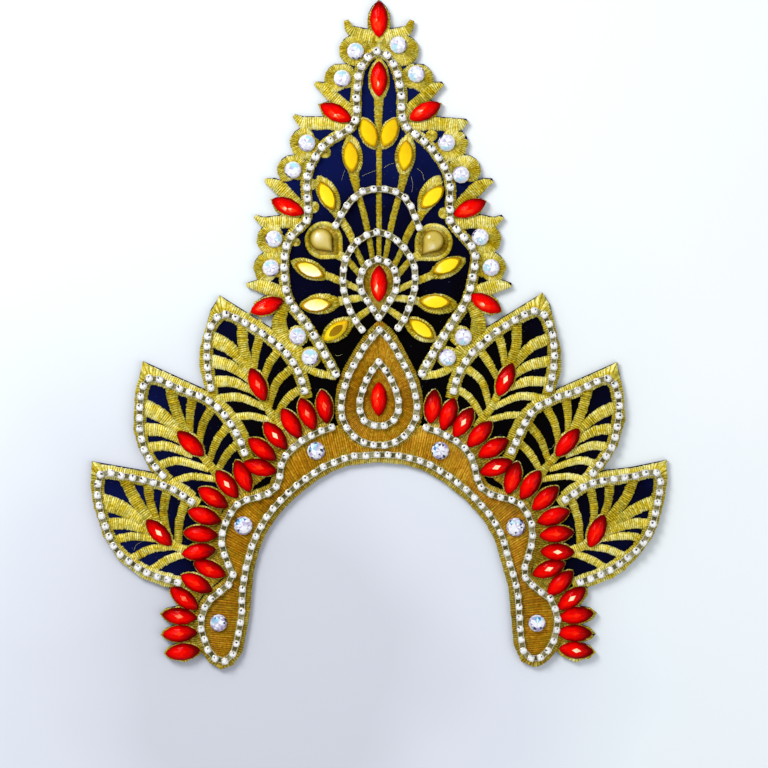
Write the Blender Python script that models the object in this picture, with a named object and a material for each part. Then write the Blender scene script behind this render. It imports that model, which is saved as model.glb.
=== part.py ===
"""Dance crown, lying flat: a stiff cloth panel with raised gold embroidery, rhinestone chains and stones.

The tables give one half of the crown in millimetres: x runs out from the middle line and y up to the crest.
The left half (-1) follows them as they stand. The right half (1) is its mirror image but for the small
shifts of handwork and its own stone places. The back of the panel lies on the plane z = 0.
"""

from math import atan2, cos, exp, hypot, pi, radians, sin, sqrt

import bpy
from mathutils import Vector
from mathutils.geometry import delaunay_2d_cdt

MM = 0.001

# Layers, from the back to the front, in millimetres
GROUND_THICK = 2.6
LAYER_GAP = 0.3
STITCH_THICK = 1.1
STITCH_LOW = GROUND_THICK + LAYER_GAP
STITCH_TOP = STITCH_LOW + STITCH_THICK
TRIM_LOW = STITCH_TOP + LAYER_GAP

# Widths, in millimetres
CHAIN_WIDE = 3.8
CHAIN_STEP = 11.0
STRIP_WIDE = 6.2
ARC_STRIP_WIDE = 4.6
FRAME_WIDE = 3.4
CLOTH_EDGE = 0.7
SIDE_GAP = 0.5
ROW_RIM = 0.7

# A cut stone's levels: share of its outline, height in millimetres
STONE_LEVELS = ((1.0, 0.0), (1.0, 1.3), (0.6, 3.7))
NAVETTE_SIDES = 8
ROUND_SIDES = 10
ROUND_STONE = 4.3
PETAL_SIDES = 16
DROP_SIDES = 20
# How far from its tip a drop's round part starts, as a share of radius over distance, in radians
TIP_SPREAD = 1.15

# How finely curves are cut, in millimetres, and the smallest loop kept, in square millimetres
CURVE_STEP = 2.0
FACET = 0.4
CLOTH_FACET = 0.6
SMALL_AREA = 4.0
FINE = 16
MERGE = 1e-5
DIGITS = 3
# A grown corner moves out by at most the growth over this
LEAST_LEAN = 0.5

# Materials: red, green, blue, metallic, roughness
MATERIALS = {
    "navy_cloth": (0.006, 0.012, 0.085, 0.0, 0.85),
    "gold_thread": (0.62, 0.47, 0.05, 0.35, 0.42),
    "amber_thread": (0.42, 0.21, 0.012, 0.3, 0.45),
    "red_stone": (0.9, 0.004, 0.0, 0.0, 0.12),
    "yellow_stone": (0.95, 0.68, 0.05, 0.25, 0.12),
    "champagne_stone": (0.78, 0.62, 0.25, 0.3, 0.15),
    "pearl_stone": (0.82, 0.88, 0.95, 0.2, 0.08),
    "silver_chain": (0.75, 0.75, 0.76, 0.8, 0.2),
}

# Shifts of the right half's embroidery: x, y, and how far it lies further out and further up there
SHIFT_REACH = 8.0
HAND_SHIFTS = (
    (79.5, 18.5, 2.6, 1.1), (78.5, 10, 1.2, 1.8), (86, -4, 1.2, 0.2), (85.7, -17, 1.5, 0), (84, -27, 1.3, 0),
    (62.5, 3, 0, 1), (44, -12.5, 0.2, 0.2), (60.5, -25, 1.6, 1.6), (68, -5, 1, 0.5),
    (117.8, -14.5, 1, -0.4), (119.4, -36, 0.7, 0), (117.7, -52, -1.3, 0.2), (112, -66, -2.2, 0.8),
    (99.5, -27.5, 0, -0.8), (76, -41, -1, 1.6), (68, -57, -0.8, 0.6),
    (143.3, -64.5, 0.24, 0.7), (105, -76.6, -0.3, 1.4), (93.6, -83.4, -0.5, 0.6), (140, -85, -1, 0),
    (132.3, -106.5, -1.3, 0.8), (125, -114, -1.2, 1.3), (110, -121.5, -0.3, 1.1),
    (76, -113.5, -2.6, 0), (73.2, -120.5, -1.2, 1.2), (78.8, -103, -2.3, 0), (68.5, -134, 1.7, 0),
    (69, -143, 1, 0), (79, -163.5, -0.5, 1), (84.5, -133, 1.2, 0.3), (77, -127, 1.6, 0.3),
    (43, 50, -1.8, 0.8), (48, 38, 1.6, 0), (45.5, 20, -1.7, 0), (42.4, 109.4, 1.8, -2.4),
    (21.5, 54.5, -1.6, -1.2), (8.7, 2.2, 1, 0.8), (48.5, -66, -1.4, 0.2),
)

# Chain routes on one half: x, y
EDGE_CHAIN = (
    (0, 141.5), (5, 138.6), (9, 133), (11.2, 121), (11.5, 108), (14.5, 103), (24, 97), (30, 91.5),
    (35, 82), (36.2, 74), (35.6, 64), (36.4, 56.5), (43, 50), (47, 41), (47, 27), (44.5, 16),
    (37, 6), (30.5, -4), (24.7, -14), (21.5, -20),
)
OUTER_ARC = ((0, 72.5), (5.5, 72), (11, 69.5), (15, 65.5), (18.5, 60), (21.5, 54.5))
MIDDLE_ARC = ((0, 51), (7.5, 48.5), (13.3, 43.5), (17.3, 35.5), (18, 26), (16.7, 18), (12, 7), (8.7, 2.2))
RING = ((0, 37.5), (4.5, 36), (8, 32.5), (9.5, 27), (8.7, 21.5), (5, 15.5), (1.9, 11), (0, 8))
PLAQUE_OUTER = (
    (0, 2), (4.5, -3), (11, -12.5), (16.5, -24), (19, -35.5), (18.5, -41), (16.7, -46), (13.2, -50.5),
    (8.5, -54), (3.7, -55.4), (0, -55.6),
)
PLAQUE_INNER = ((0, -14), (4, -19), (7, -25), (9.2, -31), (9.8, -36), (8.7, -41.5), (5, -45), (0, -46))
ARCH_CHAIN = (
    (0, -60.3), (16, -62), (26.6, -66), (36.7, -72.5), (46.3, -80.5), (54.5, -89.5), (60.8, -99.5),
    (65.5, -113), (68, -127), (68.7, -140), (70.3, -150), (72.3, -158.5), (75, -162.3), (79, -163.9),
    (83, -161), (87, -154), (89, -143), (84.5, -133), (77, -127), (73.2, -120.5), (76, -113.5),
    (78.8, -103), (76.5, -94), (70, -84.5), (59, -81), (52, -77.5), (49.5, -71), (48.5, -64),
    (41, -55.3), (31, -49.5), (23.5, -46.8),
)

# Outlines on one half: x, y
PLAQUE = (
    (0, 7), (5.5, 1.8), (9.8, -4), (14.8, -12), (18.8, -20), (21.2, -28), (22, -35.5), (21.2, -43),
    (18.8, -48.8), (14.8, -53.2), (9, -56.6), (0, -58),
)

# Leaves, from the crown's top down. Rib and veins: x, y, width
LEAVES = {
    "upper": {
        "outline": (
            (79.5, 18.5), (83, 13.5), (86, 4.5), (88.5, -5), (89.5, -13), (88.6, -20), (86.5, -27),
            (80, -38), (70, -50), (58, -58), (46, -54), (36, -44), (33.3, -31.5), (34.8, -24),
            (38, -15), (43.5, -6.5), (49.5, -1), (55.5, 3.5), (66, 9.5), (73, 14.2), (79.5, 18.5),
        ),
        "chain": (
            (84, -27), (85.7, -17), (86, -4), (84.3, 3.5), (81.7, 7.3), (78.5, 10), (73.5, 9),
            (62.5, 3), (52.5, -4), (44, -12.5), (38.8, -22.5), (37.2, -28.5),
        ),
        "base": ((36.8, -44), (46, -58), (60, -63), (76, -54), (84, -38)),
        "rib": ((68.5, 5, 5.5), (68, -5.5, 5.5), (65, -16, 5), (60.5, -25, 4), (57, -35, 4), (48, -48, 5)),
        "stone": {-1: (60.5, -25.2, 66), 1: (63.2, -22.8, 66)},
        "veins": (
            ((84, -2.5, 8), (75.5, -6.5, 6.5), (66, -17, 4)),
            ((84, -13.5, 6.5), (74.5, -16, 5.5), (65, -23, 3)),
            ((83, -23.8, 5.5), (73.5, -24, 5), (63.5, -28.5, 3)),
            ((81, -32.5, 4), (70.5, -31.6, 4), (58, -36.5, 3)),
            ((74, -42, 3.5), (64.5, -41, 3.5), (52, -44, 3)),
            ((59.5, -1, 4.5), (61.6, -9, 4), (62.5, -17, 3)),
            ((50.5, -8.5, 4.5), (55, -15, 4), (58.5, -25, 3)),
            ((44, -17.5, 4), (51, -24, 4), (55, -36, 3)),
            ((39, -27.5, 4), (45.5, -32, 4), (51.5, -41, 3)),
        ),
    },
    "middle": {
        "outline": (
            (117.8, -14.5), (119.5, -20), (121.3, -29), (122.4, -41), (121.7, -51), (118.5, -59),
            (113, -69), (104, -79), (90, -84), (74, -79), (62.5, -68), (62.3, -61), (64.5, -52),
            (69.5, -42.5), (77, -34), (86, -28.8), (95, -25.2), (105, -20.6), (117.8, -14.5),
        ),
        "chain": (
            (108, -70.5), (113.5, -64.5), (117.7, -56.5), (119.6, -45.5), (119.4, -35), (118, -26.5),
            (115.5, -22.5), (111, -22.5), (99.5, -27.5), (88, -31.7), (78.5, -39), (71.5, -49),
            (67, -59.2),
        ),
        "base": ((64, -72), (74, -86), (90, -92), (106, -84)),
        "rib": (
            (104.5, -27, 5.5), (102, -37, 5.5), (98, -47, 5), (93.5, -55, 4), (86, -64, 4), (78, -74, 5),
        ),
        "stone": {-1: (94.2, -54.8, 43), 1: (94.3, -54.3, 50)},
        "veins": (
            ((118, -36.5, 8.5), (109.5, -40.5, 7), (99.5, -49, 4)),
            ((118, -47.6, 6.5), (108.5, -48.6, 5.5), (98.5, -54, 3)),
            ((115, -56.8, 4.5), (107, -56, 4.5), (95.5, -60, 3)),
            ((110, -65.8, 4), (101.5, -63.4, 4), (87.5, -67, 3)),
            ((103, -74, 3.5), (94.5, -71.4, 3.5), (80, -73, 3)),
            ((93.3, -31.5, 5), (94.6, -40, 4), (94.6, -49, 3)),
            ((83.5, -37, 4.5), (88, -45, 4), (90, -55, 3)),
            ((75.5, -46, 4.5), (81, -53, 4), (85, -64, 3)),
            ((69, -53.5, 4), (75.5, -59.5, 4), (81.5, -70, 3)),
        ),
    },
    "lower": {
        "outline": (
            (143.3, -64.5), (143.6, -71), (143.3, -79), (140.8, -91), (136.8, -102), (130.6, -111.7),
            (120, -120.6), (109.5, -125), (100, -127), (89, -122), (83, -106), (84, -91), (88, -84),
            (92.5, -78.6), (98.5, -74.6), (106.5, -71.6), (115, -69.4), (125, -67.6), (143.3, -64.5),
        ),
        "chain": (
            (104.2, -123.2), (112.5, -120.6), (123, -115), (132.3, -106.5), (137, -95.5), (140, -85),
            (140.7, -76), (139.7, -70.8), (136.5, -69.4), (126.3, -71.2), (114.3, -73.7),
            (105, -76.6), (93.6, -83.4),
        ),
        "base": ((80, -90), (74, -108), (86, -130)),
        "rib": (
            (127.5, -72, 6), (122.5, -82, 6), (116, -91.5, 5.5), (110, -99, 4), (102, -106, 4.5),
            (91, -110, 5),
        ),
        "stone": {-1: (110, -99.3, 46), 1: (108.9, -98.5, 66)},
        "veins": (
            ((138, -84.2, 8.5), (129.5, -87, 7.5), (117, -95, 5)),
            ((135, -95.2, 6), (127, -95, 5.5), (115, -98.5, 4)),
            ((132.5, -103.2, 4), (124.5, -101.4, 4), (112, -102.5, 3)),
            ((123, -112, 4), (114, -107.6, 4), (102.5, -106.5, 3)),
            ((113.5, -118, 4), (105, -112.6, 4), (95, -109.5, 3)),
            ((115.8, -75, 5), (114.4, -84, 4), (111.5, -93, 3.5)),
            ((106, -78, 4.5), (107.8, -88, 4), (106.5, -98, 3.5)),
            ((96.4, -83, 4.5), (99.8, -93, 4), (100.6, -105, 3.5)),
        ),
    },
}

LEAF_STONE = (16.8, 8.0)
LEAF_PETAL = (19.0, 10.0)

# Lobes of the border, each round a stone: x, y, radius
LOBES = (
    (11.8, 142, 7.5), (19, 127.5, 7.8), (36, 95.5, 8), (43, 82, 7.4), (52.5, 47.5, 8), (54, 33, 8.3),
    (40.7, -1, 5.4), (34.5, -11.6, 5.4),
)
# Clear round stones on the lobes: x, y
LOBE_ROUNDS = {
    -1: ((11.8, 142), (19, 127.5), (36, 95.5), (43, 82), (52.5, 47.5), (54, 33), (40.7, -1), (34.5, -11.6)),
    1: (
        (9.8, 145.6), (18.6, 130), (34.2, 95.7), (41.5, 80), (50.6, 48.4), (56, 33.2), (41.6, -0.8),
        (34.2, -11.7),
    ),
}
# Hooks and arms of the border: x, y, width
HOOKS = (
    ((3, 148.5, 7), (10, 150.3, 5.5), (14.6, 152.6, 3.4), (16.5, 157, 0.7)),
    ((12.5, 110.5, 5), (17.5, 114.5, 4.8), (22.5, 118.6, 5), (27, 123, 5), (32, 125.6, 0.7)),
    ((14, 103.5, 4), (24.5, 105.2, 5), (32, 105.8, 6.4), (38, 106, 5.5), (42.4, 109.4, 0.7)),
    ((38, 62, 4), (44, 68.3, 5.2), (48.4, 72.4, 5.8), (52.4, 75.7, 4), (57, 77, 0.7)),
    ((38, 55.4, 4), (46, 56, 5), (52, 56.3, 6), (57.2, 56, 4.4), (62, 59, 0.7)),
    ((46, 20, 4.5), (51.5, 21.8, 5.4), (56.5, 23.6, 6), (61.2, 24.8, 4), (66.2, 24.6, 0.7)),
    ((46.5, 17, 4.5), (49, 10, 5.4), (50, 4.5, 7), (47, -3, 6), (40.5, -9, 5), (39, -16.5, 5)),
    ((39, -14.5, 3), (33, -18.6, 3), (28.5, -20, 3), (22, -21, 3)),
)
# Swellings on the inner side of the edge strip: x, y, radius
SWELLINGS = ((27, 91, 3), (33.6, 75, 2.8), (32.8, 63.5, 3), (40.8, 46.5, 3.3), (44.2, 25, 3.3))
# Navy gaps between the border's gold: x, y, width of a short slit along three points
BORDER_GAPS = (
    ((18.5, 121, 3.5), (16, 118.6, 2.6), (14.6, 116.2, 0.6)),
    ((31, 99.6, 0.8), (28, 99.4, 3), (25, 101.4, 1.6)),
    ((45.2, 76.2, 1.4), (42, 73.4, 3), (39.4, 69.4, 1)),
    ((48.6, 53.6, 0.8), (45, 53.2, 2.4), (42, 53.6, 1)),
    ((54.4, 27.4, 2), (50.6, 26.4, 2.6)),
    ((44.7, 9, 2), (43.8, 6, 3.4), (44.6, 3.6, 1.2)),
)
# Red stones on the border's outer edge: x, y, turn
EDGE_REDS = {
    -1: ((22, 111, 26), (45.6, 63.7, 23), (56, 14, -21)),
    1: ((23, 111.3, 27), (45.4, 62.9, 24), (53.4, 15.4, -28)),
}
EDGE_STONE = (16.4, 8.2)
EDGE_PETAL = (17.6, 9.4)

# Red stones on the middle line: name, y, length, width, petal centre y, petal length, petal width
MIDDLE_REDS = (
    ("crest", 157.4, 17.8, 9, 156, 22, 11),
    ("upper", 127.5, 17.4, 8.6, 127.2, 22.5, 11),
    ("centre", 25.2, 18.2, 8.6, 25.2, 20.5, 11),
)
PLAQUE_RED = ("plaque", -32.5, 17, 8.2)

# Yellow stones of the fan: x, y, turn
FAN_YELLOW = {
    -1: (
        (5.1, 100.5, 68), (14, 88.5, 85), (26, 69, 64), (34.6, 32, 24), (31.4, 14.5, -4), (21.5, 1.6, -39),
    ),
    1: (
        (5.3, 100.7, 68), (13.2, 89.2, 85), (26.5, 67.8, 64), (33.4, 34.3, 22), (27.8, 15.7, -2),
        (21.3, 1.7, -37),
    ),
}
# Their lengths and widths
YELLOW_STONES = ((15.4, 7.4), (15, 6.6), (15, 6.8), (15, 6.6), (15.2, 6.4), (14.4, 6.4))
# The gold petals under them: x, y, turn, length, width
FAN_PETALS = (
    (5.1, 100.5, 68, 17.6, 9.6), (13.3, 89.5, 83, 21.5, 10.4), (25.6, 70, 62, 21.5, 10.4),
    (34.8, 32.4, 25, 20.5, 9.6), (29.2, 15.1, -5, 21.5, 10.4), (20.6, 2.2, -35, 19.5, 10.4),
)
# Stems of the fan: x, y, width
FAN_STEMS = (
    ((12, 80, 3.6), (10.6, 71, 3.4), (6.8, 57, 3.2), (2.8, 36, 2.6)),
    ((24, 67, 4), (20.5, 60.5, 3.4), (14, 50, 3.6), (11.4, 42.5, 3), (7, 33, 3)),
    ((20.5, 40, 5), (15, 36, 3.6), (9, 29, 3)),
    ((27, 29.6, 4), (18, 26, 3.6), (9, 22, 3)),
    ((20, 16.4, 4.6), (13, 17.6, 3.8), (6, 18.2, 3)),
    ((16, 4, 4.6), (11, 8, 4), (4, 13, 3)),
)
MIDDLE_STEM = ((0, 119, 2.8), (0, 90, 2.8), (0, 36, 2.4))
# The champagne drop: centre x, y, radius, tip x, y of its gold bed and of the stone
DROP_BED = (28.2, 47.2, 8.9, 18.4, 38)
DROP_STONE = {-1: (29, 47.4, 5.6, 23, 41), 1: (27.9, 47.2, 5.6, 22, 41.2)}

# Red stones along the arch: x, y, turn
ROW = {
    -1: (
        (27.2, -36.2, 80), (35.8, -39.9, 66), (43.9, -44.6, 58), (51.9, -50.7, 50), (58.4, -57.6, 38),
        (59.6, -66.7, 14), (68, -70.9, 66), (76, -75, 52), (82.9, -81.8, 33), (87.3, -91, 18),
        (89.3, -99.9, 5), (90, -108.9, -8), (84.7, -117.4, 22), (91.2, -124.6, 27), (97.4, -132.1, 38),
        (99.8, -141, 6), (99.5, -149.8, -4), (98, -158.9, -6),
    ),
    1: (
        (26.8, -36.2, 82), (34.7, -40.1, 70), (42.2, -44.2, 58), (50.4, -50, 46), (57.2, -57, 30),
        (58.7, -66.6, 20), (66.9, -71.9, 72), (75.8, -75.4, 56), (83.2, -82.1, 42), (87.3, -91.3, 20),
        (88.8, -100, 6), (89.2, -108.9, -2), (84.9, -117.4, 20), (91.8, -124.8, 32), (96.9, -132.6, 38),
        (99.3, -141, 8), (98.6, -149.8, -2), (98.7, -158.7, -4),
    ),
}
ROW_STONE = (16.4, 8.0)
# The embroidered strip behind the row: x, y, width
ROW_STRIP = (
    (26.6, -40.4, 5), (35, -45, 5), (49.6, -54.6, 7), (56.6, -65.6, 8), (66.6, -75, 7), (80, -84, 7),
    (84, -98, 8), (83.6, -110, 8), (81.2, -119.4, 7), (88.6, -127, 6), (95, -137, 6), (96, -148, 7),
    (95, -159, 6),
)
# Clear round stones on the arch band: x, y, radius
BAND_ROUNDS = {
    -1: ((31.5, -58.4, 4.5), (67.9, -95.8, 4.7), (80.2, -144.4, 4.3)),
    1: ((30.6, -58.3, 4.5), (68.4, -96.5, 4.7), (79, -144.6, 4.3)),
}
# The cloth behind the plaque
PLAQUE_CLOTH = ((0, -22), (40, -22), (50, -60), (0, -50))
# Farther out than any of the crown
FAR = 300.0


def material(name):
    """The material of that name, made once."""
    made = bpy.data.materials.get(name)
    if made:
        return made
    red, green, blue, metallic, roughness = MATERIALS[name]
    made = bpy.data.materials.new(name)
    made.use_nodes = True
    shader = made.node_tree.nodes["Principled BSDF"]
    shader.inputs["Base Color"].default_value = (red, green, blue, 1)
    shader.inputs["Metallic"].default_value = metallic
    shader.inputs["Roughness"].default_value = roughness
    made.diffuse_color = (red, green, blue, 1)
    return made


def place(name, data, at=(0, 0, 0), turn=0.0):
    """An object in the scene under the crown's empty, at a place in millimetres, turned about +Z."""
    made = bpy.data.objects.new(name, data)
    made.location = Vector(at) * MM
    made.rotation_euler.z = radians(turn)
    made.parent = bpy.data.objects["dance_crown"]
    bpy.context.collection.objects.link(made)
    return made


def on_curve(a, b, c, d, share):
    """A point between b and c on the centripetal curve through a, b, c and d."""
    knots = [0.0]
    for low, high in ((a, b), (b, c), (c, d)):
        knots.append(knots[-1] + sqrt(max((high - low).length, 1e-6)))
    t = knots[1] + share * (knots[2] - knots[1])

    def mixed(low, high, i, j):
        return low.lerp(high, (t - knots[i]) / (knots[j] - knots[i]))

    ab, bc, cd = mixed(a, b, 0, 1), mixed(b, c, 1, 2), mixed(c, d, 2, 3)
    return mixed(mixed(ab, bc, 0, 2), mixed(bc, cd, 1, 3), 1, 2)


def smooth(rows, step):
    """Points one step apart, or a little less, on a smooth curve through the rows, both ends included."""
    given = [Vector(row) for row in rows]
    padded = [2 * given[0] - given[1], *given, 2 * given[-1] - given[-2]]
    fine = []
    for four in zip(padded, padded[1:], padded[2:], padded[3:]):
        fine += [on_curve(*four, k / FINE) for k in range(FINE)]
    fine.append(given[-1])
    run = [0.0]
    for low, high in zip(fine, fine[1:]):
        run.append(run[-1] + (high.xy - low.xy).length)
    count = max(1, -(-run[-1] // step))
    points = []
    k = 0
    for i in range(int(count) + 1):
        wanted = run[-1] * i / count
        while k < len(run) - 2 and run[k + 1] < wanted:
            k += 1
        points.append(fine[k].lerp(fine[k + 1], (wanted - run[k]) / (run[k + 1] - run[k])))
    return points


def moved(rows, side):
    """The rows of a table, x and y first, where that side has them."""
    if side < 0:
        return list(rows)
    return [shifted(*row) for row in rows]


def shifted(x, y, *others):
    """A row of a table with the right half's shift at its place, faded out beyond the shifts' reach."""
    near = [exp(-((x - row[0]) ** 2 + (y - row[1]) ** 2) / SHIFT_REACH**2) for row in HAND_SHIFTS]
    share = 1 / max(1, sum(near))
    out = sum(by * row[2] for by, row in zip(near, HAND_SHIFTS))
    up = sum(by * row[3] for by, row in zip(near, HAND_SHIFTS))
    return (x + out * share, y + up * share, *others)


def across(half):
    """A route over both halves, from a table that starts on the middle line."""
    return [(-x, y) for x, y in reversed(half[1:])] + moved(half, 1)


def around(half):
    """A route round both halves, from and back to the table's first point on the middle line."""
    return moved(half, 1) + [(-x, y) for x, y in reversed(half[:-1])]


def circle(x, y, radius, sides=16):
    """A polygon of that many sides in a circle."""
    angles = [2 * pi * k / sides for k in range(sides)]
    return [(x + radius * cos(angle), y + radius * sin(angle)) for angle in angles]


def navette(x, y, turn, length, width, sides=12):
    """A pointed oval between two arcs, its points on the long axis."""
    radius = (length**2 + width**2) / (4 * width)
    across_, along = sin(radians(turn)), cos(radians(turn))
    points = []
    for k in range(sides):
        angle = 2 * pi * k / sides
        u = length / 2 * cos(angle)
        v = sqrt(radius**2 - u**2) - (radius - width / 2)
        v = v if sin(angle) >= 0 else -v
        points.append((x + u * along - v * across_, y + u * across_ + v * along))
    return points


def teardrop(x, y, radius, tip_x, tip_y, sides=14):
    """A circle drawn out to a tip."""
    away = atan2(tip_y - y, tip_x - x)
    half = TIP_SPREAD * radius / hypot(tip_x - x, tip_y - y)
    points = [(tip_x, tip_y)]
    for k in range(sides):
        angle = away + half + (2 * pi - 2 * half) * k / (sides - 1)
        points.append((x + radius * cos(angle), y + radius * sin(angle)))
    return points


def ribbon(rows, grow=0.0, step=CURVE_STEP):
    """A strip along the rows of x, y and width, as short four-sided pieces."""
    line = smooth(rows, step)
    edges = []
    for k, point in enumerate(line):
        along = (line[min(k + 1, len(line) - 1)] - line[max(k - 1, 0)]).xy.normalized()
        out = Vector((-along.y, along.x)) * (point.z / 2 + grow)
        edges.append((tuple(point.xy + out), tuple(point.xy - out)))
    return [[a[0], a[1], b[1], b[0]] for a, b in zip(edges, edges[1:])]


def strip(route, width):
    """A ribbon of one width along a route."""
    return ribbon([(x, y, width) for x, y in route])


def closed_outline(route, step=CURVE_STEP):
    """A polygon through a route that comes back to its start, with a corner there."""
    return [tuple(point) for point in smooth(route, step)[:-1]]


def turning(polygon):
    """Twice the area, positive when the polygon runs anticlockwise."""
    return sum(a[0] * b[1] - b[0] * a[1] for a, b in zip(polygon, polygon[1:] + polygon[:1]))


def grown(polygon, by):
    """The polygon with its sides moved outwards."""
    if turning(polygon) < 0:
        polygon = polygon[::-1]
    corners = []
    for before, here, after in zip(polygon[-1:] + polygon[:-1], polygon, polygon[1:] + polygon[:1]):
        first = (Vector(here) - Vector(before)).normalized()
        second = (Vector(after) - Vector(here)).normalized()
        out = Vector((first.y + second.y, -first.x - second.x)).normalized()
        lean = max(LEAST_LEAN, out.dot(Vector((first.y, -first.x))))
        corners.append(tuple(Vector(here) + out * (by / lean)))
    return corners


def triangles(shapes):
    """Points and triangles over the shapes, the shapes round each triangle, and each point's sources."""
    points, faces = [], []
    for shape in shapes:
        shape = shape if turning(shape) > 0 else shape[::-1]
        faces.append(list(range(len(points), len(points) + len(shape))))
        points += [Vector((round(x, DIGITS), round(y, DIGITS))) for x, y in shape]
    found = delaunay_2d_cdt(points, [], faces, 0, MERGE, True)
    return found[0], found[2], found[5], found[3]


def chained(points, faces):
    """The boundary loops of some triangles."""
    sides = {(a, b) for face in faces for a, b in zip(face, face[1:] + face[:1])}
    after = {}
    for a, b in sides:
        if (b, a) not in sides:
            after.setdefault(a, []).append(b)
    loops = []
    while after:
        start = next(iter(after))
        loop, here = [start], start
        while True:
            choices = after[here]
            if len(choices) > 1 and len(loop) > 1:
                back = points[loop[-2]] - points[here]
                choices.sort(key=lambda k: turn_between(back, points[k] - points[here]))
            there = choices.pop(0)
            if not choices:
                del after[here]
            if there == start:
                break
            loop.append(there)
            here = there
        loops.append([tuple(points[k]) for k in loop])
    return loops


def turn_between(back, ahead):
    """The clockwise turn from one direction to another, in radians."""
    return (atan2(back.y, back.x) - atan2(ahead.y, ahead.x)) % (2 * pi)


def straightened(loop, facet=FACET):
    """The loop with only the points that keep it within a facet of its first form."""
    far = max(range(len(loop)), key=lambda k: hypot(loop[k][0] - loop[0][0], loop[k][1] - loop[0][1]))
    return thinned(loop[: far + 1], facet)[:-1] + thinned(loop[far:] + loop[:1], facet)[:-1]


def thinned(line, facet):
    """An open line with only the points that keep it within a facet of its first form."""
    first, last = Vector(line[0]), Vector(line[-1])
    along = (last - first).normalized()
    off = [abs(along.cross(Vector(point) - first)) for point in line]
    most = max(range(len(line)), key=off.__getitem__)
    if off[most] < facet:
        return [line[0], line[-1]]
    return thinned(line[: most + 1], facet)[:-1] + thinned(line[most:], facet)


def region(add, cut=(), windows=(), ribs=(), facet=FACET):
    """Loops round the shapes of add, less cut, and less the windows wherever no rib crosses them."""
    shapes = [*add, *cut, *windows, *ribs]
    kinds = ["add"] * len(add) + ["cut"] * len(cut) + ["window"] * len(windows) + ["rib"] * len(ribs)
    points, faces, owners, _ = triangles(shapes)
    kept = []
    for face, inside in zip(faces, owners):
        found = {kinds[k] for k in inside}
        if "add" in found and "cut" not in found and ("window" not in found or "rib" in found):
            kept.append(face)
    loops = [loop for loop in chained(points, kept) if abs(turning(loop)) / 2 > SMALL_AREA]
    loops = [straightened(loop, facet) for loop in loops]
    main = max(loops, key=turning)
    return [main] + [loop for loop in loops if turning(loop) < 0 and holds(main, loop[0])]


def holds(polygon, point):
    """Whether the point lies in the polygon."""
    x, y = point
    inside = False
    for (ax, ay), (bx, by) in zip(polygon, polygon[1:] + polygon[:1]):
        if (ay > y) != (by > y) and x < ax + (y - ay) * (bx - ax) / (by - ay):
            inside = not inside
    return inside


def raised(points, faces, base, outline, floor):
    """Adds a cut stone's sides and table, over the outline whose points start at base."""
    count = len(outline)
    middle = sum((Vector(point) for point in outline), Vector((0, 0))) / count
    for share, height in STONE_LEVELS[1:]:
        top = len(points)
        for point in outline:
            x, y = middle.lerp(Vector(point), share)
            points.append((x, y, floor + height))
        for k in range(count):
            j = (k + 1) % count
            faces.append((base + k, base + j, top + j, top + k))
        base = top
    faces.append(tuple(range(base, base + count)))


def mesh_of(name, points, faces, kinds, slots):
    """A mesh in millimetres, with a material slot for each face."""
    mesh = bpy.data.meshes.new(name)
    mesh.from_pydata([Vector(point) * MM for point in points], [], faces)
    for slot in slots:
        mesh.materials.append(material(slot))
    mesh.polygons.foreach_set("material_index", kinds)
    mesh.validate()
    mesh.update()
    return mesh


def flat_faces(loops, outlines):
    """Points and triangles over the loops but not over the outlines, and the point of each given corner."""
    points, faces, owners, sources = triangles([*loops, *outlines])
    kept = []
    for face, inside in zip(faces, owners):
        if len(inside) % 2 and all(k < len(loops) for k in inside):
            kept.append(face)
    return points, kept, {source: k for k, found in enumerate(sources) for source in found}


def plate(name, loops, low, high, slot, stones=()):
    """A flat body over the loops, with cut stones fused to its top: outlines, each with its material."""
    outlines = [outline if turning(outline) > 0 else outline[::-1] for outline, _ in stones]
    slots = [slot, *dict.fromkeys(kind for _, kind in stones)]
    under, body, _ = flat_faces(loops, [])
    flat, over, index = flat_faces(loops, outlines)
    top = [(point.x, point.y, high) for point in flat]
    points = top + [(point.x, point.y, low) for point in under]
    count = len(flat)
    found = {tuple(point): k for k, point in enumerate(flat)}
    above = [found[tuple(point)] for point in under]
    faces = [list(face) for face in over] + [[k + count for k in reversed(face)] for face in body]
    sides = {(a, b) for face in body for a, b in zip(face, face[1:] + face[:1])}
    faces += [(above[b], above[a], a + count, b + count) for a, b in sides if (b, a) not in sides]
    kinds = [0] * len(faces)
    first = sum(len(loop) for loop in loops)
    for outline, (_, kind) in zip(outlines, stones):
        ring = [index[first + k] for k in range(len(outline))]
        first += len(outline)
        base = len(points)
        before = len(faces)
        points += [top[k] for k in ring]
        raised(points, faces, base, outline, high)
        renamed = dict(zip(range(base, base + len(ring)), ring))
        faces[before:] = [tuple(renamed.get(k, k) for k in face) for face in faces[before:]]
        kinds += [slots.index(kind)] * (len(faces) - before)
    used = sorted({k for face in faces for k in face})
    order = {old: new for new, old in enumerate(used)}
    faces = [[order[k] for k in face] for face in faces]
    return place(name, mesh_of(name, [points[k] for k in used], faces, kinds, slots))


def stone_mesh(name, outline, slot):
    """A cut stone over an outline: a flat base, upright sides, sloping facets and a table."""
    outline = outline if turning(outline) > 0 else outline[::-1]
    points = [(x, y, 0.0) for x, y in outline]
    faces = [tuple(reversed(range(len(outline))))]
    raised(points, faces, 0, outline, 0.0)
    return mesh_of(name, points, faces, [0] * len(faces), [slot])


def shared_stone(length, width, slot):
    """The mesh of a navette of one size and colour, made once for all the stones that have it."""
    name = f"navette_{length}_{width}_{slot}"
    made = bpy.data.meshes.get(name)
    return made or stone_mesh(name, navette(0, 0, 0, length, width, NAVETTE_SIDES), slot)


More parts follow.
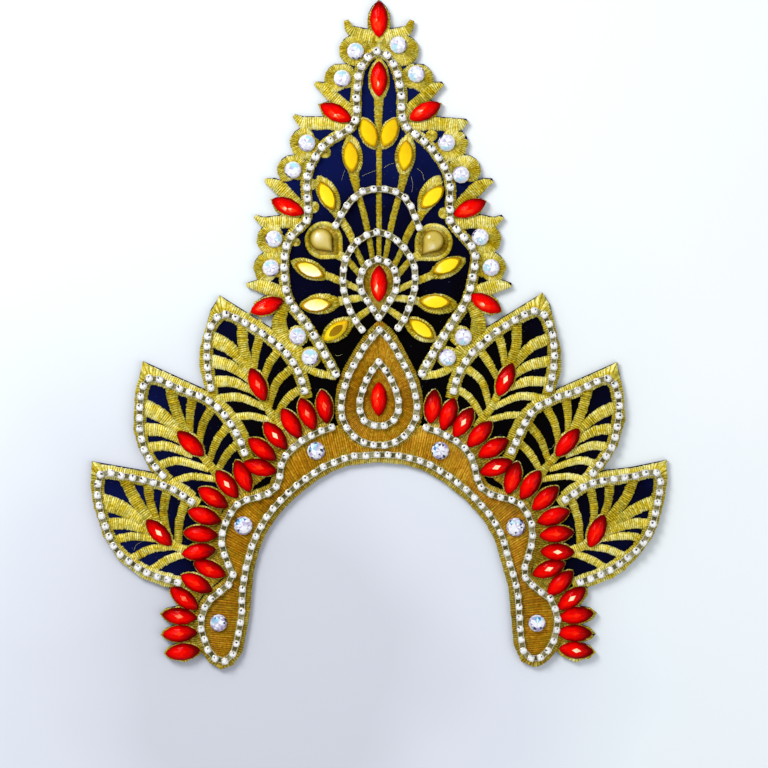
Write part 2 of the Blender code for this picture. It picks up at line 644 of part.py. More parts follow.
def chain(name, route, closed=False):
    """The envelope of a rhinestone chain: a plain round tube along its route."""
    line = smooth(route, CHAIN_STEP)
    line = line[:-1] if closed else line
    curve = bpy.data.curves.new(name, "CURVE")
    curve.dimensions = "3D"
    curve.bevel_depth = CHAIN_WIDE / 2 * MM
    curve.bevel_resolution = 2
    curve.use_fill_caps = True
    spline = curve.splines.new("POLY")
    spline.points.add(len(line) - 1)
    for point, (x, y) in zip(spline.points, line):
        point.co = (x * MM, y * MM, 0, 1)
    spline.use_cyclic_u = closed
    curve.materials.append(material("silver_chain"))
    return place(name, curve, (0, 0, TRIM_LOW + CHAIN_WIDE / 2))


def sides_of(name):
    """The names and the sides of a piece that each half has."""
    return ((f"{name}_left", -1), (f"{name}_right", 1))


def on_side(polygons, side):
    """Polygons of one half in the crown's own x and y."""
    if side > 0:
        return list(polygons)
    return [[(-x, y) for x, y in reversed(polygon)] for polygon in polygons]


def on_both(shapes, *more):
    """The shapes that a function gives for each side, in the crown's own x and y."""
    return on_side(shapes(-1, *more), -1) + on_side(shapes(1, *more), 1)


def row_petals(side, grow=0.0):
    """The embroidery behind the row of red stones on one half."""
    length, width = ROW_STONE
    rim = 2 * (ROW_RIM + grow)
    size = (length + rim + ROW_RIM, width + rim, NAVETTE_SIDES)
    return [navette(x, y, turn, *size) for x, y, turn in ROW[side]] + ribbon(moved(ROW_STRIP, side), grow)


def leaf_outline(leaf, side, grow=0.0):
    return grown(closed_outline(moved(LEAVES[leaf]["outline"], side)), grow)


def band_shapes(side, grow=0.0):
    """The arch band on one half: the space inside its chain, and the strip that carries the chain."""
    route = moved(ARCH_CHAIN, side)
    inside = [tuple(point) for point in smooth(route, CURVE_STEP)]
    inside.append((0, ARCH_CHAIN[-1][1]))
    return [inside, *strip(route, STRIP_WIDE + 2 * grow)]


def border_shapes(side, grow=0.0):
    """The border's gold on one half."""
    shapes = strip(moved(EDGE_CHAIN, side), STRIP_WIDE + 2 * grow)
    shapes += [circle(x, y, radius + grow) for x, y, radius in moved(LOBES + SWELLINGS, side)]
    for rows in HOOKS:
        shapes += ribbon(moved(rows, side), grow)
    size = [length + 2 * grow for length in EDGE_PETAL]
    shapes += [navette(x, y, turn, *size) for x, y, turn in EDGE_REDS[side]]
    return shapes


def petal(y, length, width, grow=0.0):
    """A gold petal on the middle line."""
    return navette(0, y, 90, length + 2 * grow, width + 2 * grow, PETAL_SIDES)


def fan_shapes(side):
    """The fan's gold on one half: petals, stems, arcs and the drop's bed."""
    shapes = [navette(*row, PETAL_SIDES) for row in moved(FAN_PETALS, side)]
    for rows in FAN_STEMS:
        shapes += ribbon(moved(rows, side))
    shapes += strip(moved(OUTER_ARC, side), ARC_STRIP_WIDE)
    shapes += strip(moved(MIDDLE_ARC, side), ARC_STRIP_WIDE)
    shapes.append(teardrop(*DROP_BED, DROP_SIDES))
    return shapes


def fan_trims(side):
    """Where the border lies, with the gap beside it, on one half."""
    shapes = strip(moved(EDGE_CHAIN, side), STRIP_WIDE + 2 * SIDE_GAP)
    return shapes + [circle(x, y, radius + SIDE_GAP) for x, y, radius in moved(SWELLINGS, side)]


def ground_shapes(side):
    """All that the cloth carries on one half, a little larger."""
    shapes = [leaf_outline(leaf, side, CLOTH_EDGE) for leaf in LEAVES]
    shapes += row_petals(side, CLOTH_EDGE) + border_shapes(side, CLOTH_EDGE) + band_shapes(side, CLOTH_EDGE)
    edge = [tuple(point) for point in smooth(moved(EDGE_CHAIN, side), CURVE_STEP)]
    shapes.append(edge + [PLAQUE_CLOTH[0]])
    shapes.append(PLAQUE_CLOTH)
    return shapes


def make_ground():
    """The cloth, with no holes."""
    shapes = on_both(ground_shapes) + [petal(*MIDDLE_REDS[0][4:], CLOTH_EDGE)]
    plate("ground_panel", region(shapes, facet=CLOTH_FACET)[:1], 0.0, GROUND_THICK, "navy_cloth")


def make_embroidery():
    plaque = closed_outline(around(PLAQUE))
    plate("plaque", [straightened(plaque)], STITCH_LOW, STITCH_TOP, "amber_thread")
    round_plaque = [grown(plaque, SIDE_GAP)]
    band = region(on_both(band_shapes), round_plaque + on_both(row_petals, SIDE_GAP))
    plate("arch_band", band, STITCH_LOW, STITCH_TOP, "amber_thread")
    reds = [petal(*row[4:]) for row in MIDDLE_REDS[1:]]
    ring = [closed_outline(around(RING)), *strip(around(RING), ARC_STRIP_WIDE)]
    middle_stem = ribbon(MIDDLE_STEM)
    fan = region(on_both(fan_shapes) + reds + ring + middle_stem, round_plaque + on_both(fan_trims))
    plate("fan", fan, STITCH_LOW, STITCH_TOP, "gold_thread")
    plate("crest_petal", [petal(*MIDDLE_REDS[0][4:])], STITCH_LOW, STITCH_TOP, "gold_thread")
    for name, side in sides_of("red_row"):
        make_row(name, side, on_side(round_plaque, side))
    for name, side in sides_of("border"):
        make_border(name, side, on_side(round_plaque, side))
    for side in (-1, 1):
        in_front = row_petals(side, SIDE_GAP) + band_shapes(side, SIDE_GAP)
        for leaf in reversed(LEAVES):
            make_leaf(leaf, side, in_front)
            in_front.append(leaf_outline(leaf, side, SIDE_GAP))


def make_row(name, side, trims):
    """The row of red stones on one half, fused to the embroidery behind it."""
    loops = region(row_petals(side), trims)
    outlines = on_side([navette(*row, *ROW_STONE, NAVETTE_SIDES) for row in ROW[side]], side)
    stones = [(outline, "red_stone") for outline in outlines]
    plate(name, on_side(loops, side), STITCH_LOW, STITCH_TOP, "gold_thread", stones)


def make_leaf(leaf, side, trims):
    """A leaf: its outline, cut through between a frame, a midrib and its veins."""
    row = LEAVES[leaf]
    inside = [tuple(point) for point in smooth(moved(row["chain"], side), CURVE_STEP)]
    opening = grown(inside + moved(row["base"], side), -FRAME_WIDE)
    ribs = ribbon(moved(row["rib"], side)) + [navette(*row["stone"][side], *LEAF_PETAL)]
    for vein in row["veins"]:
        ribs += ribbon(moved(vein, side))
    loops = region([leaf_outline(leaf, side)], trims, [opening], ribs)
    name = f"leaf_{leaf}_left" if side < 0 else f"leaf_{leaf}_right"
    plate(name, on_side(loops, side), STITCH_LOW, STITCH_TOP, "gold_thread")


def make_border(name, side, trims):
    """The scalloped border of one half, with its stones."""
    middle = [(-FAR, FAR), (-FAR, -FAR), (SIDE_GAP / 2, -FAR), (SIDE_GAP / 2, FAR)]
    cut = [*trims, middle, petal(*MIDDLE_REDS[0][4:], SIDE_GAP), leaf_outline("upper", side, SIDE_GAP)]
    for rows in BORDER_GAPS:
        cut += ribbon(moved(rows, side))
    loops = region(border_shapes(side), cut)
    rounds = on_side([circle(x, y, ROUND_STONE, ROUND_SIDES) for x, y in LOBE_ROUNDS[side]], side)
    reds = on_side([navette(*row, *EDGE_STONE, NAVETTE_SIDES) for row in EDGE_REDS[side]], side)
    stones = [(outline, "pearl_stone") for outline in rounds] + [(outline, "red_stone") for outline in reds]
    plate(name, on_side(loops, side), STITCH_LOW, STITCH_TOP, "gold_thread", stones)


def make_chains():
    chain("edge_chain", across(EDGE_CHAIN))
    chain("outer_arc_chain", across(OUTER_ARC))
    chain("middle_arc_chain", across(MIDDLE_ARC))
    chain("ring_chain", around(RING[::-1]), closed=True)
    chain("plaque_outer_chain", around(PLAQUE_OUTER), closed=True)
    chain("plaque_inner_chain", around(PLAQUE_INNER), closed=True)
    chain("arch_chain", across(ARCH_CHAIN))
    for leaf, row in LEAVES.items():
        for name, side in sides_of(f"leaf_{leaf}_chain"):
            chain(name, [(side * x, y) for x, y in moved(row["chain"], side)])


def make_stones():
    for name, y, length, width, *_ in (*MIDDLE_REDS, PLAQUE_RED):
        place(f"{name}_red", shared_stone(length, width, "red_stone"), (0, y, TRIM_LOW), 90)
    for leaf, row in LEAVES.items():
        for name, side in sides_of(f"leaf_{leaf}_red"):
            x, y, turn = row["stone"][side]
            place(name, shared_stone(*LEAF_STONE, "red_stone"), (side * x, y, TRIM_LOW), side * turn)
    for number, size in enumerate(YELLOW_STONES):
        for name, side in sides_of(f"fan_yellow_{number + 1}"):
            x, y, turn = FAN_YELLOW[side][number]
            place(name, shared_stone(*size, "yellow_stone"), (side * x, y, TRIM_LOW), side * turn)
    for name, side in sides_of("fan_drop"):
        outline = on_side([teardrop(*DROP_STONE[side], ROUND_SIDES)], side)[0]
        place(name, stone_mesh(name, outline, "champagne_stone"), (0, 0, TRIM_LOW))
    for number in range(len(BAND_ROUNDS[1])):
        for name, side in sides_of(f"band_round_{number + 1}"):
            x, y, radius = BAND_ROUNDS[side][number]
            mesh = stone_mesh(name, circle(0, 0, radius, ROUND_SIDES), "pearl_stone")
            place(name, mesh, (side * x, y, TRIM_LOW))


def main():
    for old in list(bpy.data.objects):
        bpy.data.objects.remove(old)
    bpy.context.collection.objects.link(bpy.data.objects.new("dance_crown", None))
    make_ground()
    make_embroidery()
    make_chains()
    make_stones()


main()
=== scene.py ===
"""The looks of the dance crown: velvet, satin-stitched gold thread, rhinestone chains and cut stones.

The tables give one half of the crown in millimetres: x runs out from the middle line and y up to the crest.
The left half (-1) follows them as they stand. The right half (1) is its mirror image but for the small
shifts of handwork and its own stone places.
"""

import random
from math import atan2, ceil, cos, exp, hypot, pi, radians, sin, sqrt

import bpy
import numpy as np
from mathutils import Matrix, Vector
from mathutils.geometry import delaunay_2d_cdt


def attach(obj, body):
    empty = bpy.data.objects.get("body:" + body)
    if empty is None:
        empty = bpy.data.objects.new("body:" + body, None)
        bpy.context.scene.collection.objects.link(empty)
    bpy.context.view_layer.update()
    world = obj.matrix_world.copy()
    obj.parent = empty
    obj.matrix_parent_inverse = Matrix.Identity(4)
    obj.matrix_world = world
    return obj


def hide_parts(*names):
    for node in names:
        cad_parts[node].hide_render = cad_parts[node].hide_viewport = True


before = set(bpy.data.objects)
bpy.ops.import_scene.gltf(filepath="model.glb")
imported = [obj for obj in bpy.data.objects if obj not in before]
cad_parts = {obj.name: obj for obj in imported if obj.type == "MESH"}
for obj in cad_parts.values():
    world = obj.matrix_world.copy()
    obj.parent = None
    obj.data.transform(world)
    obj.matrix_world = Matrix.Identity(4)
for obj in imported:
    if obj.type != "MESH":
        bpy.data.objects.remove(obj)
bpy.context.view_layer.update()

MM = 0.001
chance = random.Random(7)

# All lengths are in millimetres unless a comment says otherwise

# Heights over the back of the crown
CLOTH_TOP = 2.6
STITCH_LOW = 2.55
STITCH_HIGH = 4.05
FIELD_HIGH = 3.6
TRIM_LOW = 4.3

# Widths of strips and frames
STRIP_WIDE = 6.2
ARC_STRIP_WIDE = 3.4
INNER_STRIP_WIDE = 4.2
FRAME_WIDE = 3.2
# How far a strip reaches on either side of its chain
BAND_INNER = 2.3
BAND_OUTER = 3.95
EDGE_INNER = 2.5
EDGE_OUTER = 3.1
RIM_INNER = 2.2
# How far apart stitches are, and the links of a chain
PITCH = 1.1
STEM_PITCH = 0.75
FIELD_PITCH = 1.15
LINK_PITCH = 5.5
# Where the cloth's edge is this near, stitches run out to it and so far past it, less where they point up
NEAR_EDGE = 1.5
PAST_EDGE = 0.15
UPWARD_LESS = 0.6
# A corner of the cloth is sharp from this turn on, and the nearest stitch runs into it from this distance
SHARP = radians(33)
NEAR_CORNER = 2.4
# How much further out than its row on each side a hook is stitched
HOOK_GROW = 0.5
# How much longer than its row a vein and a hook is at its two ends, and the strip under a leaf's chain
VEIN_ENDS = (1.5, 2.5)
HOOK_ENDS = (0.1, 0.8)
TAIL = 4.0
# How far at most the stitches of a leaf's frame, the plaque's rim and the plaque's field reach
FRAME_REACH = 11.0
RIM_REACH = 6.0
FIELD_REACH = 40.0

# Steps along an outline, and how many fine ones there are between two rows of a table
CURVE_STEP = 2.0
FINE = 16
# How full a navette is, from 0 for two arcs to 1 for an ellipse
FULLNESS = 0.4
# How far the CAD's points may lie from their height
LEVEL_SPREAD = 0.05
SIDES = {-1: "left", 1: "right"}


def rows_of(text):
    """A table of numbers: commas part its rows, and spaces the numbers of a row."""
    return tuple(tuple(float(number) for number in row.split()) for row in text.split(","))


def strips_of(text):
    """A table of tables, one on each line."""
    return tuple(rows_of(line) for line in text.strip().splitlines())


# Shifts of the right half's embroidery: x, y, and how far it lies further out and further up there
SHIFT_REACH = 8.0
HAND_SHIFTS = rows_of("""
    79.5 18.5 2.6 1.1, 78.5 10 1.2 1.8, 86 -4 1.2 0.2, 85.7 -17 1.5 0, 84 -27 1.3 0, 62.5 3 0 1,
    44 -12.5 0.2 0.2, 60.5 -25 1.6 1.6, 68 -5 1 0.5, 117.8 -14.5 1 -0.4, 119.4 -36 0.7 0,
    117.7 -52 -1.3 0.2, 112 -66 -2.2 0.8, 99.5 -27.5 0 -0.8, 76 -41 -1 1.6, 68 -57 -0.8 0.6,
    143.3 -64.5 0.7 1.4, 105 -76.6 -0.3 1.4, 93.6 -83.4 -0.5 0.6, 140 -85 -1 0, 122.5 -82 1.2 0,
    132.3 -106.5 -1.3 0.8, 125 -114 -1.2 1.3, 110 -121.5 -0.3 1.1, 76 -113.5 -2.6 0, 73.2 -120.5 -1.2 1.2,
    78.8 -103 -2.3 0, 68.5 -134 1.7 0, 69 -143 1 0, 79 -163.5 -0.5 1, 84.5 -133 1.2 0.3, 77 -127 1.6 0.3,
    9 133 -0.9 0, 24 97 -0.6 -0.5, 30 91.5 -2.1 -1.6, 35 82 -1.55 -0.4, 36.2 74 -0.4 0, 33.5 33.5 -0.6 1,
    9.5 26 -1 0, 13.3 43.5 -0.5 -1, 18.5 28 0.5 0, 43 50 -1.8 -0.8, 48 38 1.6 0, 45.5 20 -1.7 0,
    42.4 109.4 1.8 -2.4, 21.5 54.5 -1.6 -1.2, 8.7 2.2 1 0.8, 48.5 -66 -1.4 0.2
""")

# Chain routes on one half: x, y
EDGE_CHAIN = rows_of("""
    0 141.5, 5 138.6, 9 133, 11.2 121, 11.5 108, 14.5 103, 24 97, 30 91.5, 35 82, 36.2 74, 35.6 64,
    36.4 56.5, 43 50, 47 41, 47 27, 44.5 16, 37 6, 30.5 -4, 24.7 -14, 21.5 -20
""")
OUTER_ARC = rows_of("0 72.5, 5.5 72, 11 69.5, 15 65.5, 18.5 60, 21.5 54.5")
MIDDLE_ARC = rows_of("0 51, 7.5 48.5, 13.3 43.5, 17.3 35.5, 18 26, 16.7 18, 12 7, 8.7 2.2")
RING = rows_of("0 37.5, 4.5 36, 8 32.5, 9.5 27, 8.7 21.5, 5 15.5, 1.9 11, 0 8")
PLAQUE_OUTER = rows_of("""
    0 2, 4.5 -3, 11 -12.5, 16.5 -24, 19 -35.5, 18.5 -41, 16.7 -46, 13.2 -50.5, 8.5 -54, 3.7 -55.4, 0 -55.6
""")
PLAQUE_INNER = rows_of("0 -14, 4 -19, 7 -25, 9.2 -31, 9.8 -36, 8.7 -41.5, 5 -45, 0 -46")
ARCH_CHAIN = rows_of("""
    0 -60.3, 16 -62, 26.6 -66, 36.7 -72.5, 46.3 -80.5, 54.5 -89.5, 60.8 -99.5, 65.5 -113, 68 -127,
    68.7 -140, 70.3 -150, 72.3 -158.5, 75 -162.3, 79 -163.9, 83 -161, 87 -154, 89 -143, 84.5 -133, 77 -127,
    73.2 -120.5, 76 -113.5, 78.8 -103, 76.5 -94, 70 -84.5, 59 -81, 52 -77.5, 49.5 -71, 48.5 -64, 41 -55.3,
    31 -49.5, 23.5 -46.8
""")

# Where the band's stitches start on its inner edge and end on its outer edge: x, y, x, y
BAND_RUNGS = rows_of("""
    0 -60.3 0 -56, 9 -60.8 10 -54, 16 -62 19 -46, 26.6 -66 31 -49.5, 34.5 -71 41 -55.3, 41 -75.8 48.5 -64,
    46.3 -80.5 51 -75.5, 51 -85.5 57 -80.4, 56 -91.7 66 -82.8, 60.8 -99.5 74 -89.5, 64 -108 78.4 -100.5,
    66.5 -118 76 -113.5, 67.5 -124 73.2 -120.5, 68 -130 77 -127, 68.4 -137 86 -135.5, 69.5 -147 89 -146,
    71.5 -156 86.8 -154.5, 75 -162.3 83 -161, 78.5 -163.9 79.5 -163.9
""")

# Outlines on one half: x, y
PLAQUE = rows_of("""
    0 7, 5.5 1.8, 9.8 -4, 14.8 -12, 18.8 -20, 21.2 -28, 22 -35.5, 21.2 -43, 18.8 -48.8, 14.8 -53.2, 9 -56.6,
    0 -58
""")
PLAQUE_MIDDLE = (0, -33)

# Leaves, from the crown's top down. Rib and veins: x, y, width
LEAVES = {
    "upper": {
        "outline": rows_of("""
            79.5 18.5, 83 13.5, 86 4.5, 88.5 -5, 89.5 -13, 88.6 -20, 86.5 -27, 80 -38, 70 -50, 58 -58,
            46 -54, 36 -44, 33.3 -31.5, 34.8 -24, 38 -15, 43.5 -6.5, 49.5 -1, 55.5 3.5, 66 9.5, 73 14.2,
            79.5 18.5
        """),
        "chain": rows_of("""
            84 -27, 85.7 -17, 86 -4, 84.3 3.5, 81.7 7.3, 78.5 10, 73.5 9, 62.5 3, 52.5 -4, 44 -12.5,
            38.8 -22.5, 37.2 -28.5
        """),
        "rib": rows_of("68.5 5 5.5, 68 -5.5 5.5, 65 -16 5, 60.5 -25 4, 57 -35 4, 48 -48 5"),
        "stone": {-1: (60.5, -25.2, 66), 1: (63.2, -22.8, 66)},
        "veins": strips_of("""
            84 -2.5 8, 75.5 -6.5 6.5, 66 -17 4
            84 -13.5 6.5, 74.5 -16 5.5, 65 -23 3
            83 -23.8 5.5, 73.5 -24 5, 63.5 -28.5 3
            81 -32.5 4, 70.5 -31.6 4, 58 -36.5 3
            74 -42 3.5, 64.5 -41 3.5, 52 -44 3
            59.5 -1 4.5, 61.6 -9 4, 62.5 -17 3
            50.5 -8.5 4.5, 55 -15 4, 58.5 -25 3
            44 -17.5 4, 51 -24 4, 55 -36 3
            39 -27.5 4, 45.5 -32 4, 51.5 -41 3
        """),
    },
    "middle": {
        "outline": rows_of("""
            117.8 -14.5, 119.5 -20, 121.3 -29, 122.4 -41, 121.7 -51, 118.5 -59, 113 -69, 104 -79, 90 -84,
            74 -79, 62.5 -68, 62.3 -61, 64.5 -52, 69.5 -42.5, 77 -34, 86 -28.8, 95 -25.2, 105 -20.6,
            117.8 -14.5
        """),
        "chain": rows_of("""
            108 -70.5, 113.5 -64.5, 117.7 -56.5, 119.6 -45.5, 119.4 -35, 118 -26.5, 115.5 -22.5, 111 -22.5,
            99.5 -27.5, 88 -31.7, 78.5 -39, 71.5 -49, 67 -59.2
        """),
        "rib": rows_of("104.5 -27 5.5, 102 -37 5.5, 98 -47 5, 93.5 -55 4, 86 -64 4, 78 -74 5"),
        "stone": {-1: (94.2, -54.8, 43), 1: (94.3, -54.3, 50)},
        "veins": strips_of("""
            118 -36.5 8.5, 109.5 -40.5 7, 99.5 -49 4
            118 -47.6 6.5, 108.5 -48.6 5.5, 98.5 -54 3
            115 -56.8 4.5, 107 -56 4.5, 95.5 -60 3
            110 -65.8 4, 101.5 -63.4 4, 87.5 -67 3
            103 -74 3.5, 94.5 -71.4 3.5, 80 -73 3
            93.3 -31.5 5, 94.6 -40 4, 94.6 -49 3
            83.5 -37 4.5, 88 -45 4, 90 -55 3
            75.5 -46 4.5, 81 -53 4, 85 -64 3
            69 -53.5 4, 75.5 -59.5 4, 81.5 -70 3
        """),
    },
    "lower": {
        "outline": rows_of("""
            143.3 -64.5, 143.6 -71, 143.3 -79, 140.8 -91, 136.8 -102, 130.6 -111.7, 120 -120.6, 109.5 -125,
            100 -127, 89 -122, 83 -106, 84 -91, 88 -84, 92.5 -78.6, 98.5 -74.6, 106.5 -71.6, 115 -69.4,
            125 -67.6, 143.3 -64.5
        """),
        "chain": rows_of("""
            100.6 -124.2, 112.5 -120.6, 123 -115, 132.3 -106.5, 137 -95.5, 140 -85, 140.7 -76, 139.7 -70.8,
            136.5 -69.4, 126.3 -71.2, 114.3 -73.7, 105 -76.6, 93.6 -83.4
        """),
        "rib": rows_of("127.5 -72 6, 122.5 -82 6, 116 -91.5 5.5, 110 -99 4, 102 -106 4.5, 91 -110 5"),
        "stone": {-1: (110, -99.3, 46), 1: (108.9, -98.5, 66)},
        "veins": strips_of("""
            138 -84.2 8.5, 129.5 -87 7.5, 117 -95 5
            135 -95.2 6, 127 -95 5.5, 115 -98.5 4
            132.5 -103.2 4, 124.5 -101.4 4, 112 -102.5 3
            123 -112 4, 114 -107.6 4, 102.5 -106.5 3
            113.5 -118 4, 105 -112.6 4, 95 -109.5 3
            115.8 -75 5, 114.4 -84 4, 111.5 -93 3.5
            106 -78 4.5, 107.8 -88 4, 106.5 -98 3.5
            96.4 -83 4.5, 99.8 -93 4, 100.6 -105 3.5
        """),
    },
}
LEAF_STONE = (17.8, 8.5)
LEAF_PETAL = (19.0, 10.0)

# Lobes of the border, each round a stone: x, y, radius, and the way to where velvet shows beside the stone
LOBES = (
    (11.8, 142, 7.9, None), (19, 127.5, 8.2, -108), (36, 95.5, 8.4, 140), (43, 82, 7.8, -95),
    (52.5, 47.5, 8.4, 150), (54, 33, 8.7, -115), (40.7, -1, 5.4, None), (34.5, -11.6, 5.4, None),
)
# How much of a lobe's radius its gap takes away, and how far round it reaches
LOBE_GAP = 0.42
LOBE_GAP_REACH = 0.75
# Clear round stones on the lobes: x, y
LOBE_ROUNDS = {
    -1: rows_of("11.7 141.4, 18.4 127.8, 36 95.5, 43 82, 52.5 47.5, 54 33, 40.7 -1, 34.5 -11.6"),
    1: rows_of("9.6 144.5, 18.6 130, 33.8 95.6, 41 79.6, 50.6 48.4, 56 33.2, 42.2 -1.6, 34.2 -11.7"),
}
ROUND_STONE = 4.3
# Hooks and arms of the border: x, y, width
HOOKS = strips_of("""
    3 148.5 7, 10 150.3 5.5, 14.6 152.6 3.4, 16.5 157 0.7
    12.5 110.5 5, 17.5 114.5 4.8, 22.5 118.6 5, 27 123 5, 32 125.6 0.7
    14 103.5 4, 24.5 105.2 5, 32 105.8 6.4, 38 106 5.5, 42.4 109.4 0.7
    38 62 4, 44 68.3 5.2, 48.4 72.4 5.8, 52.4 75.7 4, 57 77 0.7
    38 55.4 4, 46 56 5, 52 56.3 6, 57.2 56 4.4, 62 59 0.7
    46 20 4.5, 51.5 21.8 5.4, 56.5 23.6 6, 61.2 24.8 4, 66.2 24.6 0.7
    46.5 17 4.5, 49 10 5.4, 50 4.5 7, 47 -3 6, 40.5 -9 5, 39 -16.5 5
    39 -14.5 3, 33 -18.6 3, 28.5 -20 3, 22 -21 3
""")
# Swellings beside the edge strip: x, y, radius
SWELLINGS = {
    -1: rows_of("27 91 3, 33.6 75 2.8, 32.8 63.5 3, 41.5 46 2.2"),
    1: rows_of("26.4 99.4 3, 32.6 60.5 3"),
}
# Red stones on the border's outer edge: x, y, turn
EDGE_REDS = {
    -1: rows_of("21.6 110.7 27, 45.6 63.7 23, 56 14 -21"),
    1: rows_of("23 111.3 27, 45.4 62.9 24, 53.4 15.4 -28"),
}
EDGE_STONE = (17.2, 8.5)
EDGE_PETAL = (18.4, 9.8)

# Red stones on the middle line: name, y, length, width, petal centre y, petal length, petal width
MIDDLE_REDS = (
    ("crest", 157.4, 18, 9, 156, 22.4, 11.2),
    ("upper", 127.5, 17.6, 8.6, 127.2, 22.5, 11),
    ("centre", 25.2, 18.2, 8.6, 25.2, 20.5, 11),
)
PLAQUE_RED = ("plaque", -32.5, 17, 8.2)

# Yellow stones of the fan: x, y, turn
FAN_YELLOW = {
    -1: rows_of("5.1 100.5 68, 14 88.5 85, 26 69 64, 34.6 32 24, 31.4 14.5 -4, 21.5 1.6 -39"),
    1: rows_of("5.3 100.7 68, 13.2 89.2 85, 26.7 68.4 44, 34 34 26, 28.1 16 -2, 21.2 2.5 -37"),
}
# Their lengths and widths
YELLOW_STONES = rows_of("15.6 8.2, 15.6 7.7, 16 7.8, 15.8 7.5, 15.6 7.5, 15.4 7.3")
# The gold petals under them: x, y, turn, length, width
FAN_PETALS = rows_of("""
    5.1 100.5 68 17.6 9.6, 13.3 89.5 83 21.5 10.4, 25.6 70 62 21.5 10.4, 34.8 32.4 25 20.5 9.6,
    29.2 15.1 -5 21.5 10.4, 20.6 2.2 -35 19.5 10.4
""")
# Stems of the fan: x, y, width
FAN_STEMS = strips_of("""
    13.2 84 6.5, 12.2 78 4.6, 10.6 71 3.4, 6.8 57 3.2, 2.8 36 2.6
    25 66.5 7, 21.5 61 4.6, 14.8 50.5 3.8, 11.6 42.5 3, 7 33 3
    20.5 40 5, 15 36 3.6, 9 29 3
    27 29.6 4, 18 26 3.6, 9 22 3
    20 16.4 4.6, 13 17.6 3.8, 6 18.2 3
    16 4 4.6, 11 8 4, 4 13 3
""")
MIDDLE_STEM = rows_of("0 119 5.2, -0.3 110 4, 0 95 3, 0 60 2.8, 0 36 2.4")
# The champagne drop: centre x, y, radius, tip x, y of its gold bed and of the stone
DROP_BED = {-1: (27.7, 46.9, 9.5, 18, 37.8), 1: (27.4, 46, 9.5, 18, 36.8)}
DROP_STONE = {-1: (29, 47.4, 5.6, 23, 41), 1: (27.1, 46.6, 5.4, 21.4, 39.4)}
TIP_SPREAD = 1.15
# Its bed has a bright round of stitches in to this share of its outline, and a darker one between these
DROP_INNER = 0.76
DROP_DARK = (0.77, 0.45)

# Red stones along the arch: x, y, turn
ROW = {
    -1: rows_of("""
        27.2 -36.2 80, 35.8 -39.9 66, 43.9 -44.6 58, 51.9 -50.7 50, 58.4 -57.6 38, 59.6 -66.7 14,
        68 -70.9 66, 76 -75 52, 82.9 -81.8 33, 87.3 -91 18, 89.3 -99.9 5, 90 -108.9 -8, 84.7 -117.4 22,
        91.2 -124.6 27, 97.4 -132.1 38, 99.8 -141 6, 99.5 -149.8 -4, 98 -158.9 -6
    """),
    1: rows_of("""
        26.8 -36.2 82, 34.7 -40.1 70, 42.2 -44.2 58, 50.4 -50 46, 57.2 -57 30, 58.7 -66.6 20, 66.9 -71.9 72,
        75.8 -75.4 56, 83.2 -82.1 42, 87.3 -91.3 20, 88.8 -100 6, 89.2 -108.9 -2, 84.9 -117.4 20,
        90.6 -124.5 44, 96.3 -132.1 38, 98.7 -140.6 8, 97.8 -149.5 -2, 98.6 -158.1 -6
    """),
}
ROW_STONE = (17.3, 8.6)
ROW_PETAL = (18.2, 9.7)
CREST_FILL = (0, 145.8, 5.6)
# The embroidered strip behind the row: x, y, width
ROW_STRIP = rows_of("""
    26.6 -40.4 5, 35 -45 5, 49.6 -54.6 7, 56.6 -65.6 8, 66.6 -75 7, 80 -84 7, 84 -98 8, 83.6 -110 8,
    81.2 -119.4 7, 88.6 -127 6, 95 -137 6, 95.2 -148 8.6, 94.2 -158.6 8
""")
# Clear round stones on the arch band: x, y, radius
BAND_ROUNDS = {
    -1: rows_of("31.5 -58.4 4.5, 67.9 -95.8 4.7, 80.2 -144.4 4.3"),
    1: rows_of("30.6 -58.3 4.5, 68.4 -96.5 4.7, 79 -144.6 4.3"),
}


# Curves and outlines

def on_curve(a, b, c, d, share):
    """A point between b and c on the centripetal curve through a, b, c and d."""
    knots = [0.0]
    for low, high in ((a, b), (b, c), (c, d)):
        knots.append(knots[-1] + sqrt(max((high - low).length, 1e-6)))
    t = knots[1] + share * (knots[2] - knots[1])

    def between(low, high, i, j):
        return low.lerp(high, (t - knots[i]) / (knots[j] - knots[i]))

    ab, bc, cd = between(a, b, 0, 1), between(b, c, 1, 2), between(c, d, 2, 3)
    return between(between(ab, bc, 0, 2), between(bc, cd, 1, 3), 1, 2)


def smooth(rows, step):
    """An array of points one step apart, or a little less, on a smooth curve through the rows."""
    given = [Vector(row) for row in rows]
    padded = [2 * given[0] - given[1], *given, 2 * given[-1] - given[-2]]
    fine = []
    for four in zip(padded, padded[1:], padded[2:], padded[3:]):
        fine += [on_curve(*four, k / FINE) for k in range(FINE)]
    fine = np.array([*fine, given[-1]])
    run = np.concatenate([[0.0], np.cumsum(np.hypot(*np.diff(fine[:, :2], axis=0).T))])
    wanted = np.linspace(0, run[-1], max(1, ceil(run[-1] / step)) + 1)
    return np.stack([np.interp(wanted, run, fine[:, k]) for k in range(fine.shape[1])], 1)


def shifted(x, y, *others):
    """A row of a table with the right half's shift at its place, faded out beyond the shifts' reach."""
    near = [exp(-((x - row[0]) ** 2 + (y - row[1]) ** 2) / SHIFT_REACH**2) for row in HAND_SHIFTS]
    share = 1 / max(1, sum(near))
    out, up = (sum(by * row[k] for by, row in zip(near, HAND_SHIFTS)) for k in (2, 3))
    return (x + out * share, y + up * share, *others)


def moved(rows, side):
    """The rows of a table, x and y first, where that side has them."""
    return list(rows) if side < 0 else [shifted(*row) for row in rows]


def across(half):
    """A route over both halves, from a table that starts on the middle line."""
    return [(-x, y) for x, y in reversed(half[1:])] + moved(half, 1)


def around(half):
    """A route round both halves, from and back to the table's first point on the middle line."""
    return moved(half, 1) + [(-x, y) for x, y in reversed(half[:-1])]


def steps_round(sides):
    return np.arange(sides) * 2 * pi / sides


